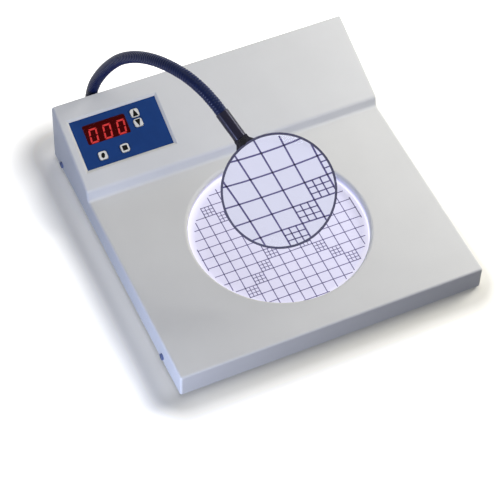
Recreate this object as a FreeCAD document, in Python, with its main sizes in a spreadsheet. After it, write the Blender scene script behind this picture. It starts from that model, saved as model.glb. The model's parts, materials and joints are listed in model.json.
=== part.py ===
"""Digital colony counter: a low sheet-metal housing with a back-lit counting plate and a gooseneck magnifier.

Millimetres. +X is to the user's right, +Y to the rear and +Z up. The origin is on the floor, under the middle of the
whole object. Each sub-part is written to parts/NAME.step.
"""
import FreeCAD
import Part
import Sketcher
import math
import os
import re

SIZES = {
    # Housing, folded from sheet: a flat deck, a short riser and a sloping panel behind it
    "housing_width": 270,
    "housing_depth": 270,
    "deck_height": 22.5,
    "panel_run": 75,
    "riser_run": 2,
    "riser_rise": 9.5,
    "panel_tilt": 20.8,
    "sheet": 1.5,
    "edge_radius": 2,
    "riser_top_radius": 4,
    "riser_foot_radius": 3,
    "sheet_gap": 0.3,
    "flange_height": 12,
    "rear_flange": 12,
    # Feet
    "foot_height": 3,
    "foot_diameter": 16,
    "foot_taper": 1,
    "foot_inset": 24,
    "foot_web": 1,
    # Screws and nuts
    "screw_thread": 3,
    "screw_hole": 3.4,
    "screw_head": 5.6,
    "screw_head_height": 1.6,
    "screw_slot": 0.8,
    "screw_slot_depth": 0.7,
    "thread_gap": 0.05,
    "nut_across": 6.4,
    "nut_height": 2.4,
    "cover_screw_height": 5.5,
    "cover_screw_front": 36,
    "cover_screw_rear": 18,
    "cover_screw_length": 7,
    "foot_screw_length": 4.5,
    "rear_screw_length": 5,
    "rear_screw_spacing": 230,
    # Counting plate and its well
    "opening_front": 30,
    "opening_rear": 11.6,
    "opening_edge": 3,
    "lip_height": 3.4,
    "plate_depth": 9,
    "plate_gap": 0.75,
    "plate_thickness": 3,
    "diffuser_thickness": 1.5,
    "pad_height": 1.8,
    "pad_diameter": 5,
    "pad_count": 3,
    "ledge_width": 6.5,
    "ledge_thickness": 1.5,
    "well_wall": 2,
    "well_flange": 8,
    "well_flange_thickness": 2,
    "notch_width": 8,
    "notch_height": 3.8,
    "press_travel": 0.4,
    "touch_switch_size": 5,
    "touch_plunger": 2,
    "touch_clearance": 0.3,
    # Light ring
    "board_thickness": 1.6,
    "light_standoff": 1.5,
    "light_post_diameter": 6,
    "light_ring_inset": 24.5,
    "light_ring_width": 26,
    "led_count": 24,
    "led_length": 3.5,
    "led_width": 2.8,
    "led_height": 1.4,
    "reflector_gap": 2,
    "reflector_thickness": 1,
    # Keypad in the sloping panel; shares are of its width across and of its height along the slope
    "keypad_left": 8.5,
    "keypad_bottom": 18,
    "keypad_top": 17.2,
    "keypad_width": 78,
    "bevel_width": 2.2,
    "bevel_depth": 1.2,
    "overlay_thickness": 0.4,
    "overlay_gap": 0.15,
    "carrier_thickness": 2,
    "carrier_side": 4,
    "carrier_end": 9,
    "window_across_share": 0.362,
    "window_along_share": 0.6595,
    "window_width_share": 0.491,
    "window_height_share": 0.397,
    "window_corner": 1.5,
    "window_inset": 0.15,
    "key_size_share": 0.162,
    "key_corner_share": 0.25,
    "key_gap": 0.5,
    "key_rise": 0.8,
    "key_lip": 1,
    "key_lip_thickness": 1,
    "key_travel": 0.5,
    "key_clearance": 0.3,
    "key_up_across_share": 0.720,
    "key_up_along_share": 0.791,
    "key_down_across_share": 0.719,
    "key_down_along_share": 0.589,
    "key_zero_across_share": 0.217,
    "key_zero_along_share": 0.191,
    "key_set_across_share": 0.473,
    "key_set_along_share": 0.2,
    "stud_inset": 8,
    "stud_margin": 4.5,
    "stud_length": 7,
    # Control board behind the keypad
    "board_drop": 8,
    "board_post_diameter": 5,
    "board_post_inset": 4,
    "board_screw_length": 6,
    "digit_count": 3,
    "digit_pitch": 12.6,
    "digit_block_gap": 0.1,
    "digit_block_height": 19,
    "digit_clearance": 0.5,
    "digit_right_share": 0.03,
    "digit_drop_share": 0.056,
    "segment_height": 13,
    "segment_span": 7.4,
    "segment_width": 1.5,
    "segment_gap": 0.2,
    "segment_lean": 8,
    "segment_thickness": 0.2,
    "switch_size": 6,
    "switch_body": 3.5,
    "switch_plunger": 3.5,
    "buzzer_diameter": 12,
    "buzzer_height": 6,
    "chip_length": 14,
    "chip_width": 8,
    "chip_height": 2,
    # Power supply
    "power_board_right": 25,
    "power_board_width": 130,
    "power_board_rear": 31,
    "power_board_depth": 36,
    "power_standoff": 6,
    "power_post_diameter": 6,
    "power_post_inset": 5,
    "power_screw_length": 5,
    "transformer_right": 20,
    "transformer_width": 42,
    "transformer_depth": 26,
    "transformer_height": 20,
    "transformer_bevel": 2,
    "capacitor_left": 34,
    "capacitor_diameter": 10,
    "capacitor_height": 15,
    "capacitor_spacing": 14,
    "fuse_left": 30,
    "fuse_row": 6,
    "fuse_diameter": 5,
    "fuse_length": 20,
    "fuse_clip_length": 5,
    "fuse_clip_wall": 1,
    # Mains inlet and power switch in the rear panel
    "inlet_right": 50,
    "inlet_z": 30,
    "inlet_body_width": 27,
    "inlet_body_height": 20,
    "inlet_body_depth": 19,
    "inlet_cavity_width": 24,
    "inlet_cavity_height": 16.5,
    "inlet_cavity_depth": 17,
    "inlet_flange_width": 50,
    "inlet_flange_height": 24,
    "inlet_flange_thickness": 3,
    "inlet_screw_spacing": 40,
    "inlet_screw_length": 8,
    "pin_spacing": 14,
    "pin_offset": 4,
    "pin_width": 2,
    "pin_height": 4,
    "pin_reach": 12.5,
    "pin_tail": 6,
    "cutout_gap": 0.2,
    "switch_right": 90,
    "switch_z": 30,
    "switch_frame_width": 15,
    "switch_frame_height": 21,
    "switch_frame_thickness": 2,
    "switch_shell_width": 13,
    "switch_shell_height": 19,
    "switch_shell_depth": 14,
    "switch_mouth_width": 10,
    "switch_mouth_height": 15,
    "switch_mouth_depth": 9,
    "rocker_length": 12.4,
    "rocker_side_gap": 0.4,
    "rocker_angle": 8,
    "rocker_pivot_depth": 3,
    "rocker_pin": 2,
    "rocker_pin_gap": 0.2,
    "rocker_pin_seat": 1,
    "rocker_root": 2.5,
    "rocker_rise": 2.2,
    "rocker_dip": 0.8,
    # Leads
    "lead_diameter": 2.4,
    "lamp_lead_left": 20,
    "lead_bend": 6,
    # Neck bracket behind the housing
    "neck_left": 38.5,
    "neck_setback": 11,
    "bracket_reach": 20,
    "bracket_width": 38,
    "bracket_thickness": 2.5,
    "bracket_top": 17,
    "bracket_drop": 15,
    "bracket_screw_spacing": 26,
    "bracket_screw_drop": 9.5,
    "bracket_screw_length": 9,
    "bush_thread": 9.6,
    "bush_hole": 10,
    "bush_flange": 16,
    "bush_flange_height": 2,
    "bush_collar": 13,
    "bush_neck": 3,
    "bush_tail": 6,
    "bush_nut_across": 16,
    "bush_nut_height": 4,
    # Gooseneck: equal spans, each bent to an arc, in an upright plane turned from straight ahead
    "neck_start": 30,
    "neck_turn": 22,
    "neck_span_count": 5,
    "neck_span": 45.5,
    "neck_bend_1": 23.8,
    "neck_bend_2": 11.8,
    "neck_bend_3": 22,
    "neck_bend_4": 24.9,
    "neck_bend_5": 41.2,
    "neck_crest": 10,
    "neck_root": 8.6,
    "neck_bore": 4,
    "rib_pitch": 2.3,
    "ball_gap": 0.3,
    "span_start": 2,
    "span_end": 1.2,
    # Magnifier
    "sleeve_diameter": 11,
    "sleeve_length": 27,
    "sleeve_chamfer": 0.5,
    "saddle_depth": 5.6,
    "saddle_width": 17,
    "saddle_neck": 12,
    "saddle_flare": 2.5,
    "saddle_height": 9,
    "rim_diameter": 91.8,
    "rim_wall": 1.8,
    "rim_lip": 0.8,
    "rim_height": 5,
    "lens_edge": 3,
    "lens_seat_gap": 0.2,
    "lens_curve": 220,
    "lens_roll": 29,
    "rim_screw_length": 6,
}

V = FreeCAD.Vector
doc = FreeCAD.newDocument("colony_counter")
sizes = doc.addObject("Spreadsheet::Sheet", "Sizes")
for row, (alias, number) in enumerate(SIZES.items(), 1):
    sizes.set(f"A{row}", alias)
    sizes.set(f"B{row}", str(number))
    sizes.setAlias(f"B{row}", alias)
doc.recompute()

# Places that several pieces share, as formulas of the sizes
FRONT = "(-(housing_depth + bracket_reach) / 2)"
REAR = f"({FRONT} + housing_depth)"
FLOOR = "(foot_height + sheet)"
DECK = "(foot_height + deck_height)"
DECK_DEPTH = "(housing_depth - panel_run - riser_run)"
PANEL_TOP = "(deck_height + riser_rise + panel_run * tan(panel_tilt))"
OPENING = f"({DECK_DEPTH} - opening_front - opening_rear)"
PLATE_Y = f"({FRONT} + opening_front + {OPENING} / 2)"
LIP = f"({OPENING} + 2 * opening_edge + 2 * sheet_gap)"
LIGHT_RING = f"({OPENING} - 2 * light_ring_inset)"
PLATE_TOP = f"({DECK} - plate_depth)"
PAD_TOP = f"({PLATE_TOP} - plate_thickness - diffuser_thickness)"
LEDGE_TOP = f"({PAD_TOP} - pad_height)"
LIGHT_TOP = f"({FLOOR} + light_standoff + board_thickness)"
PANEL_Y = f"({REAR} - panel_run)"
PANEL_Z = "(foot_height + deck_height + riser_rise)"
KEYPAD_X = "(-housing_width / 2 + keypad_left)"
KEYPAD_HEIGHT = "(panel_run / cos(panel_tilt) - keypad_bottom - keypad_top)"
WINDOW_WIDTH = "(window_width_share * keypad_width)"
WINDOW_HEIGHT = f"(window_height_share * {KEYPAD_HEIGHT})"
WINDOW_MIDDLE = (f"({KEYPAD_X} + window_across_share * keypad_width)",
                 f"(keypad_bottom + window_along_share * {KEYPAD_HEIGHT})")
KEY_SIZE = f"(key_size_share * {KEYPAD_HEIGHT})"
KEY_CORNER = f"(key_corner_share * {KEY_SIZE})"
CARRIER_BACK = "(-sheet - carrier_thickness)"
BOARD_FACE = f"({CARRIER_BACK} - board_drop)"
BOARD_BACK = f"({BOARD_FACE} - board_thickness)"
THREAD_HOLE = "(screw_thread + 2 * thread_gap)"
KEY_HOLE = f"({KEY_SIZE} + 2 * key_gap)"
POWER_X = "(housing_width / 2 - power_board_right - power_board_width)"
POWER_Y = f"({REAR} - power_board_rear - power_board_depth)"
INLET_X = "(housing_width / 2 - inlet_right)"
SWITCH_X = "(housing_width / 2 - switch_right)"
NECK_X = "(-housing_width / 2 + neck_left)"
POWER_FACE = f"({FLOOR} + power_standoff + board_thickness)"
BRACKET_TOP = "(foot_height + bracket_top)"
INLET_FLOOR = f"({REAR} + inlet_flange_thickness - inlet_cavity_depth)"
RIM_RADIUS = "(rim_diameter / 2)"
LENS_RADIUS = "(rim_diameter / 2 - rim_wall + rim_lip)"
KEYS = ("key_up", "key_down", "key_zero", "key_set")
KEY_SPOTS = {key: (f"{KEYPAD_X} + {key}_across_share * keypad_width",
                   f"keypad_bottom + {key}_along_share * {KEYPAD_HEIGHT}") for key in KEYS}

subparts = []


def formula(text):
    """The text as an expression of the sheet's cells."""
    return re.sub(r"[a-z_]\w*", lambda word: "Sizes." * (word.group() in SIZES) + word.group(), str(text))


def value(text):
    """What a formula of sizes comes to now."""
    return float(sizes.evalExpression(formula(text)))


def keep(piece, label):
    """Hands the piece in under its name."""
    piece.Label = label
    subparts.append(piece)
    return piece


def bind(piece, **formulas):
    """Ties properties of a piece to formulas of the sizes."""
    for name, text in formulas.items():
        piece.setExpression(name, formula(text))
    return piece


def place(piece, x="0", y="0", z="0", turn=None):
    """Puts a piece at a point, tied to the sizes, with a fixed rotation where it has one."""
    piece.Placement = FreeCAD.Placement(V(), turn or FreeCAD.Rotation())
    for axis, text in zip("xyz", (x, y, z)):
        piece.setExpression(f"Placement.Base.{axis}", formula(text))
    return piece


def on_panel(piece, across="0", along="0", out="0", flip="0"):
    """Puts a piece on the sloping panel: across is X, along runs up the slope and out leaves its outer face."""
    piece.Placement = FreeCAD.Placement(V(), FreeCAD.Rotation(V(1, 0, 0), 1))
    piece.setExpression("Placement.Rotation.Angle", formula(f"panel_tilt + {flip}"))
    spot = {
        "x": across,
        "y": f"{PANEL_Y} + ({along}) * cos(panel_tilt) - ({out}) * sin(panel_tilt)",
        "z": f"{PANEL_Z} + ({along}) * sin(panel_tilt) + ({out}) * cos(panel_tilt)",
    }
    for axis, text in spot.items():
        piece.setExpression(f"Placement.Base.{axis}", formula(text))
    return piece


def new_body(name):
    return doc.addObject("PartDesign::Body", name)


def new_sketch(body, role="XY_Plane", lift="0"):
    """A sketch on one of the body's own base planes, lifted along its normal."""
    sketch = body.newObject("Sketcher::SketchObject", body.Name + "_sketch")
    base = [feature for feature in body.Origin.OriginFeatures if feature.Role == role][0]
    sketch.AttachmentSupport = (base, "")
    sketch.MapMode = "FlatFace"
    sketch.setExpression("AttachmentOffset.Base.z", formula(lift))
    return sketch


def tie(sketch, kind, curve, point, text):
    """One dimension of a sketch, from its origin to a point of a curve, bound to a formula."""
    index = sketch.addConstraint(Sketcher.Constraint(kind, -1, 1, curve, point, value(text)))
    sketch.setExpression(f"Constraints[{index}]", formula(text))


def outline(sketch, points):
    """A closed polygon whose corners are formulas."""
    first = sketch.GeometryCount
    corners = [V(value(across), value(up), 0) for across, up in points]
    count = len(points)
    for index, corner in enumerate(corners):
        sketch.addGeometry(Part.LineSegment(corner, corners[(index + 1) % count]))
    for index, (across, up) in enumerate(points):
        following = first + (index + 1) % count
        sketch.addConstraint(Sketcher.Constraint("Coincident", first + index, 2, following, 1))
        tie(sketch, "DistanceX", first + index, 1, across)
        tie(sketch, "DistanceY", first + index, 1, up)


def rectangle(sketch, left, low, width, height):
    right = f"{left} + {width}"
    high = f"{low} + {height}"
    outline(sketch, [(left, low), (right, low), (right, high), (left, high)])


def circle(sketch, across, up, diameter):
    curve = sketch.addGeometry(Part.Circle(V(value(across), value(up), 0), V(0, 0, 1), value(diameter) / 2))
    tie(sketch, "DistanceX", curve, 3, across)
    tie(sketch, "DistanceY", curve, 3, up)
    index = sketch.addConstraint(Sketcher.Constraint("Diameter", curve, value(diameter)))
    sketch.setExpression(f"Constraints[{index}]", formula(diameter))


def rounded_rectangle(sketch, across, up, wide, tall, corner):
    """A rectangle about a point, with round corners."""
    first = sketch.GeometryCount
    halves = (value(wide) / 2, value(tall) / 2)
    radius = value(corner)
    middle = V(value(across), value(up), 0)
    for quarter in range(4):
        angle = quarter * math.pi / 2
        turn = FreeCAD.Rotation(V(0, 0, 1), quarter * 90)
        reach = halves[quarter % 2]
        straight = halves[1 - quarter % 2] - radius
        ends = [middle + turn.multVec(V(reach, lift, 0)) for lift in (-straight, straight)]
        sketch.addGeometry(Part.LineSegment(*ends))
        round_end = Part.Circle(middle + turn.multVec(V(reach - radius, straight, 0)), V(0, 0, 1), radius)
        sketch.addGeometry(Part.ArcOfCircle(round_end, angle, angle + math.pi / 2))
    for quarter in range(4):
        line = first + 2 * quarter
        arc = line + 1
        following = first + (2 * quarter + 2) % 8
        sketch.addConstraint(Sketcher.Constraint("Tangent", line, 2, arc, 1))
        sketch.addConstraint(Sketcher.Constraint("Tangent", arc, 2, following, 1))
        sketch.addConstraint(Sketcher.Constraint("Vertical" if quarter % 2 == 0 else "Horizontal", line))
        if quarter:
            sketch.addConstraint(Sketcher.Constraint("Equal", first + 1, arc))
    index = sketch.addConstraint(Sketcher.Constraint("Radius", first + 1, radius))
    sketch.setExpression(f"Constraints[{index}]", formula(corner))
    tie(sketch, "DistanceX", first, 1, f"{across} + ({wide}) / 2")
    tie(sketch, "DistanceX", first + 4, 1, f"{across} - ({wide}) / 2")
    tie(sketch, "DistanceY", first + 2, 1, f"{up} + ({tall}) / 2")
    tie(sketch, "DistanceY", first + 6, 1, f"{up} - ({tall}) / 2")


def pad(body, sketch, length, symmetric=False, back=False):
    feature = body.newObject("PartDesign::Pad", body.Name + "_pad")
    feature.Profile = sketch
    feature.SideType = "Symmetric" if symmetric else "One side"
    feature.Reversed = back
    bind(feature, Length=length)
    doc.recompute()
    return feature


def pocket(body, sketch, length=None, symmetric=False, back=False):
    """Cuts a sketch out of a body, to a length or right through, and makes sure that it cut something."""
    before = body.Shape.Volume
    feature = body.newObject("PartDesign::Pocket", body.Name + "_pocket")
    feature.Profile = sketch
    feature.SideType = "Symmetric" if symmetric else "One side"
    feature.Reversed = back
    if length is None:
        feature.Type = "ThroughAll"
    else:
        bind(feature, Length=length)
    doc.recompute()
    if feature.Shape.Volume >= before:
        raise RuntimeError(f"{feature.Name} cuts nothing")
    return feature


def dress(body, kind, name, test, **formulas):
    """A fillet or chamfer on the edges of a body's tip that pass a test."""
    tip = body.Tip
    edges = [f"Edge{index}" for index, edge in enumerate(tip.Shape.Edges, 1) if test(edge)]
    feature = body.newObject(kind, name)
    feature.Base = (tip, edges)
    bind(feature, **formulas)
    doc.recompute()
    return feature


def turned(name, points):
    """A body turned about Z from a half section of radius and height formulas."""
    body = new_body(name)
    sketch = new_sketch(body, "XZ_Plane")
    outline(sketch, points)
    feature = body.newObject("PartDesign::Revolution", name + "_turn")
    feature.Profile = sketch
    feature.ReferenceAxis = (sketch, ["V_Axis"])
    feature.Angle = 360
    doc.recompute()
    return body


def box(name, length, width, height):
    return bind(doc.addObject("Part::Box", name), Length=length, Width=width, Height=height)


def cylinder(name, diameter, height):
    return bind(doc.addObject("Part::Cylinder", name), Radius=f"({diameter}) / 2", Height=height)


def joined(name, pieces):
    feature = doc.addObject("Part::MultiFuse", name)
    feature.Shapes = pieces
    return feature


def cut_away(name, base, tool):
    feature = doc.addObject("Part::Cut", name)
    feature.Base = base
    feature.Tool = tool
    return feature


def group(label, pieces):
    """Separate solids that share one name."""
    feature = doc.addObject("Part::Compound", label)
    feature.Links = pieces
    return keep(feature, label)


def copies(label, patterns):
    """Copies of one piece or more, each put in place by a function."""
    links = []
    for pattern, spots in patterns:
        for spot in spots:
            link = doc.addObject("App::Link", f"{label}_{len(links)}")
            link.LinkedObject = pattern
            spot(link)
            links.append(link)
    return group(label, links)


def at(x, y, z, turn=None):
    return lambda piece: place(piece, x, y, z, turn)


def at_panel(across, along, out, flip="0"):
    return lambda piece: on_panel(piece, across, along, out, flip)


HEAD_UP = FreeCAD.Rotation()
HEAD_DOWN = FreeCAD.Rotation(V(1, 0, 0), 180)
HEAD_LEFT = FreeCAD.Rotation(V(0, 1, 0), -90)
HEAD_RIGHT = FreeCAD.Rotation(V(0, 1, 0), 90)
HEAD_REAR = FreeCAD.Rotation(V(1, 0, 0), -90)


def screw(name, length):
    """A slotted screw: its head stands on z = 0 and its shank goes down."""
    shank = "screw_thread / 2"
    rim = "screw_head / 2"
    top = "screw_head_height"
    points = [("0", f"-({length})"), (shank, f"-({length})"), (shank, "0"), (rim, "0"), (rim, top), ("0", top)]
    body = turned(name, points)
    sketch = new_sketch(body, lift=top)
    rectangle(sketch, "-screw_head", "-screw_slot / 2", "2 * screw_head", "screw_slot")
    pocket(body, sketch, "screw_slot_depth")
    return body


def nut(name, across, height, hole):
    """A hexagon nut standing on z = 0."""
    prism = doc.addObject("Part::Prism", name + "_blank")
    prism.Polygon = 6
    bind(prism, Circumradius=f"({across}) / 2", Height=height)
    return cut_away(name, prism, cylinder(name + "_hole", hole, height))


def corners_of(left, low, width, height, inset):
    """Four points set in from the corners of a rectangle."""
    for across in (f"{left} + {inset}", f"{left} + {width} - {inset}"):
        for up in (f"{low} + {inset}", f"{low} + {height} - {inset}"):
            yield across, up


def housing_cover():
    body = new_body("housing_cover")
    sketch = new_sketch(body, "YZ_Plane")
    riser_top = "deck_height + riser_rise"
    outline(sketch, [
        ("0", "0"),
        ("0", "deck_height"),
        (DECK_DEPTH, "deck_height"),
        (f"{DECK_DEPTH} + riser_run", riser_top),
        ("housing_depth", PANEL_TOP),
        ("housing_depth", "0"),
    ])
    block = pad(body, sketch, "housing_width", symmetric=True)
    depth = value("housing_depth")
    half_width = value("housing_width / 2")
    close = 1e-5

    def open_face(face):
        return face.BoundBox.ZMax < close or face.BoundBox.YMin > depth - close

    shell = body.newObject("PartDesign::Thickness", "housing_shell")
    shell.Base = (block, [f"Face{i}" for i, face in enumerate(block.Shape.Faces, 1) if open_face(face)])
    shell.Reversed = True
    shell.Mode = "Skin"
    shell.Join = "Intersection"
    bind(shell, Value="sheet")
    doc.recompute()

    def outer_edge(edge):
        limits = edge.BoundBox
        on_side = limits.XLength < close and abs(abs(limits.XMin) - half_width) < close
        front_top = limits.XLength > 2 * half_width - close and limits.YMax < close
        on_rim = limits.ZMax < close or limits.YMin > depth - close
        return (on_side or front_top) and not on_rim

    def riser_edge(along, height):
        spot = value(along)
        level = value(height)

        def test(edge):
            limits = edge.BoundBox
            across = limits.XLength > 2 * half_width - close
            return across and abs(limits.YMin - spot) < close and abs(limits.ZMax - level) < close

        return test

    top_edge = riser_edge(f"{DECK_DEPTH} + riser_run", riser_top)
    dress(body, "PartDesign::Fillet", "riser_top", top_edge, Radius="riser_top_radius")
    foot_edge = riser_edge(DECK_DEPTH, "deck_height")
    dress(body, "PartDesign::Fillet", "riser_foot", foot_edge, Radius="riser_foot_radius")
    dress(body, "PartDesign::Fillet", "housing_edges", outer_edge, Radius="edge_radius")
    sketch = new_sketch(body)
    sketch.setExpression("AttachmentOffset.Base.z", formula("deck_height - lip_height"))
    circle(sketch, "0", f"{PLATE_Y} - {FRONT}", LIP)
    pad(body, sketch, "lip_height - sheet / 2")
    sketch = new_sketch(body)
    circle(sketch, "0", f"{PLATE_Y} - {FRONT}", OPENING)
    pocket(body, sketch, back=True)
    top = value("deck_height")

    def opening_edge(edge):
        return edge.BoundBox.ZMin > top - close and edge.Closed

    dress(body, "PartDesign::Fillet", "opening_rim", opening_edge, Radius="opening_edge")

    def panel_sketch(grow, drop):
        cut = new_sketch(body)
        cut.AttachmentOffset = FreeCAD.Placement(V(), FreeCAD.Rotation(V(1, 0, 0), 1))
        cut.setExpression("AttachmentOffset.Rotation.Angle", formula("panel_tilt"))
        lie = f"housing_depth - panel_run + ({drop}) * sin(panel_tilt)"
        cut.setExpression("AttachmentOffset.Base.y", formula(lie))
        cut.setExpression("AttachmentOffset.Base.z", formula(f"{riser_top} - ({drop}) * cos(panel_tilt)"))
        left = f"{KEYPAD_X} - {grow}"
        width = f"keypad_width + 2 * {grow}"
        rectangle(cut, left, f"keypad_bottom - {grow}", width, f"{KEYPAD_HEIGHT} + 2 * {grow}")
        return cut

    bevel = body.newObject("PartDesign::SubtractiveLoft", "keypad_bevel")
    bevel.Profile = panel_sketch("bevel_width", "0")
    bevel.Sections = [panel_sketch("0", "bevel_depth")]
    doc.recompute()
    pocket(body, panel_sketch("0", "0"), "4 * sheet", symmetric=True)
    sketch = new_sketch(body, "YZ_Plane")
    for across in ("cover_screw_front", "housing_depth - cover_screw_rear"):
        circle(sketch, across, "cover_screw_height", "screw_hole")
    pocket(body, sketch, symmetric=True)
    place(body, "0", FRONT, "foot_height")
    return keep(body, "housing_cover")


TRAY_WIDTH = "(housing_width - 2 * sheet - 2 * sheet_gap)"
TRAY_FRONT = f"({FRONT} + sheet + sheet_gap)"
TRAY_DEPTH = "(housing_depth - 2 * sheet - 2 * sheet_gap)"
SCREW_FRONT = f"{FRONT} + cover_screw_front"
SCREW_REAR = f"{REAR} - cover_screw_rear"
REAR_SCREW_Y = f"({REAR} - sheet - rear_flange / 2)"
FOOT_SPOTS = [(f"{side} * (housing_width / 2 - foot_inset)", y) for side in ("-1", "1")
              for y in (f"{FRONT} + foot_inset", f"{REAR} - foot_inset")]
REAR_SCREWS = [(f"{side} * rear_screw_spacing / 2", REAR_SCREW_Y) for side in ("-1", "1")]


def chassis_tray():
    """A shallow channel that closes the housing from below, with a flange inside each side wall."""
    body = new_body("chassis_tray")
    sketch = new_sketch(body, "XZ_Plane")
    half = f"{TRAY_WIDTH} / 2"
    inner = f"{TRAY_WIDTH} / 2 - sheet"
    outline(sketch, [
        (f"-{half}", "0"), (half, "0"), (half, "flange_height"), (inner, "flange_height"),
        (inner, "sheet"), (f"-({inner})", "sheet"), (f"-({inner})", "flange_height"), (f"-{half}", "flange_height"),
    ])
    pad(body, sketch, TRAY_DEPTH, back=True)
    sketch = new_sketch(body)
    for x, y in FOOT_SPOTS + REAR_SCREWS:
        circle(sketch, x, f"{y} - {TRAY_FRONT}", THREAD_HOLE)
    pocket(body, sketch, back=True)
    sketch = new_sketch(body, "YZ_Plane")
    for y in (SCREW_FRONT, SCREW_REAR):
        circle(sketch, f"{y} - {TRAY_FRONT}", "cover_screw_height", THREAD_HOLE)
    pocket(body, sketch, symmetric=True)
    place(body, "0", TRAY_FRONT, "foot_height")
    return keep(body, "chassis_tray")


def rear_panel():
    """An upright plate with a foot flange on the tray, open for the inlet, the switch and the bracket's screws."""
    body = new_body("rear_panel")
    sketch = new_sketch(body, "YZ_Plane")
    top = f"{PANEL_TOP} - sheet * tan(panel_tilt) - sheet / cos(panel_tilt) - sheet_gap"
    rectangle(sketch, "-sheet", "0", "sheet", f"({top})")
    pad(body, sketch, TRAY_WIDTH, symmetric=True)
    sketch = new_sketch(body, "YZ_Plane")
    rectangle(sketch, "-sheet - rear_flange", "sheet", "rear_flange", "sheet")
    pad(body, sketch, f"{TRAY_WIDTH} - 2 * sheet - 2 * sheet_gap", symmetric=True)
    sketch = new_sketch(body, "XZ_Plane")
    inlet = ("inlet_body_width + 2 * cutout_gap", "inlet_body_height + 2 * cutout_gap")
    rectangle(sketch, f"{INLET_X} - ({inlet[0]}) / 2", f"inlet_z - ({inlet[1]}) / 2", *inlet)
    shell = ("switch_shell_width + 2 * cutout_gap", "switch_shell_height + 2 * cutout_gap")
    rectangle(sketch, f"{SWITCH_X} - ({shell[0]}) / 2", f"switch_z - ({shell[1]}) / 2", *shell)
    for side in ("-1", "1"):
        circle(sketch, f"{INLET_X} + {side} * inlet_screw_spacing / 2", "inlet_z", THREAD_HOLE)
        across = f"{NECK_X} + {side} * bracket_screw_spacing / 2"
        circle(sketch, across, "bracket_top - bracket_screw_drop", "screw_hole")
    pocket(body, sketch, "2 * sheet", symmetric=True)
    sketch = new_sketch(body)
    for x, y in REAR_SCREWS:
        circle(sketch, x, f"{y} - {REAR}", "screw_hole")
    pocket(body, sketch, back=True)
    place(body, "0", REAR, "foot_height")
    return keep(body, "rear_panel")


def housing_fasteners():
    side = screw("cover_screw", "cover_screw_length")
    spots = []
    for y in (SCREW_FRONT, SCREW_REAR):
        spots.append(at("-housing_width / 2", y, "foot_height + cover_screw_height", HEAD_LEFT))
        spots.append(at("housing_width / 2", y, "foot_height + cover_screw_height", HEAD_RIGHT))
    copies("cover_screws", [(side, spots)])
    rear = screw("rear_screw", "rear_screw_length")
    copies("rear_panel_screws", [(rear, [at(x, y, "foot_height + 2 * sheet") for x, y in REAR_SCREWS])])


def feet():
    """Rubber feet with a sunk screw each."""
    wide = "foot_diameter / 2"
    sink = "screw_head / 2 + thread_gap"
    hole = "screw_hole / 2"
    web = "foot_height - foot_web"
    foot = turned("foot", [
        (hole, web), (hole, "foot_height"), (wide, "foot_height"), (f"{wide} - foot_taper", "0"), (sink, "0"), (sink, web),
    ])
    copies("rubber_feet", [(foot, [at(x, y, "0") for x, y in FOOT_SPOTS])])
    fixing = screw("foot_screw", "foot_screw_length")
    copies("foot_screws", [(fixing, [at(x, y, web, HEAD_DOWN) for x, y in FOOT_SPOTS])])


def plate_well():
    """Ring wall of the well, under the deck's lip: a stepped flange, a ledge for the plate and a notch for the lead."""
    bore = f"{OPENING} / 2"
    top = "deck_height - 2 * sheet"
    under_lip = "deck_height - lip_height - sheet"
    step = f"{LIP} / 2 + sheet_gap"
    rim = f"{bore} + well_flange"
    under = f"{under_lip} - well_flange_thickness"
    ledge = f"{LEDGE_TOP} - {FLOOR}"
    body = turned("well_ring", [
        (bore, under_lip), (step, under_lip), (step, top), (rim, top), (rim, under),
        (f"{bore} + well_wall", under), (f"{bore} + well_wall", "0"), (bore, "0"),
        (bore, f"{ledge} - ledge_thickness"), (f"{bore} - ledge_width", f"{ledge} - ledge_thickness"),
        (f"{bore} - ledge_width", ledge), (bore, ledge),
    ])
    sketch = new_sketch(body)
    notch_left = f"{POWER_X} + lamp_lead_left - notch_width / 2"
    rectangle(sketch, notch_left, bore + " - well_wall", "notch_width", "3 * well_wall")
    pocket(body, sketch, "notch_height", back=True)
    place(body, "0", PLATE_Y, FLOOR)
    keep(body, "well_ring")


def counting_plate():
    across = f"{OPENING} - 2 * plate_gap"
    plate = cylinder("grid_plate", across, "plate_thickness")
    keep(place(plate, "0", PLATE_Y, f"{PLATE_TOP} - plate_thickness"), "grid_plate")
    diffuser = cylinder("diffuser", across, "diffuser_thickness")
    keep(place(diffuser, "0", PLATE_Y, PAD_TOP), "diffuser")
    seat = f"({OPENING} - ledge_width) / 2"
    pads = []
    for index in range(int(value("pad_count"))):
        angle = f"(90 + {index} * 360 / pad_count)"
        spot = (f"{seat} * cos({angle})", f"{PLATE_Y} + {seat} * sin({angle})", LEDGE_TOP)
        pads.append(place(cylinder(f"pad_{index}", "pad_diameter", "pad_height"), *spot))
    group("plate_pads", pads)
    side = "touch_switch_size"
    room = "(pad_height - press_travel - touch_clearance)"
    body = place(box("touch_body", side, side, f"{room} * 0.75"), f"-{side} / 2", f"-{side} / 2")
    plunger = cylinder("touch_plunger", "touch_plunger", room)
    switch = joined("touch_switch", [body, plunger])
    keep(place(switch, "0", f"{PLATE_Y} - {seat}", LEDGE_TOP), "touch_switch")


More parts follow.
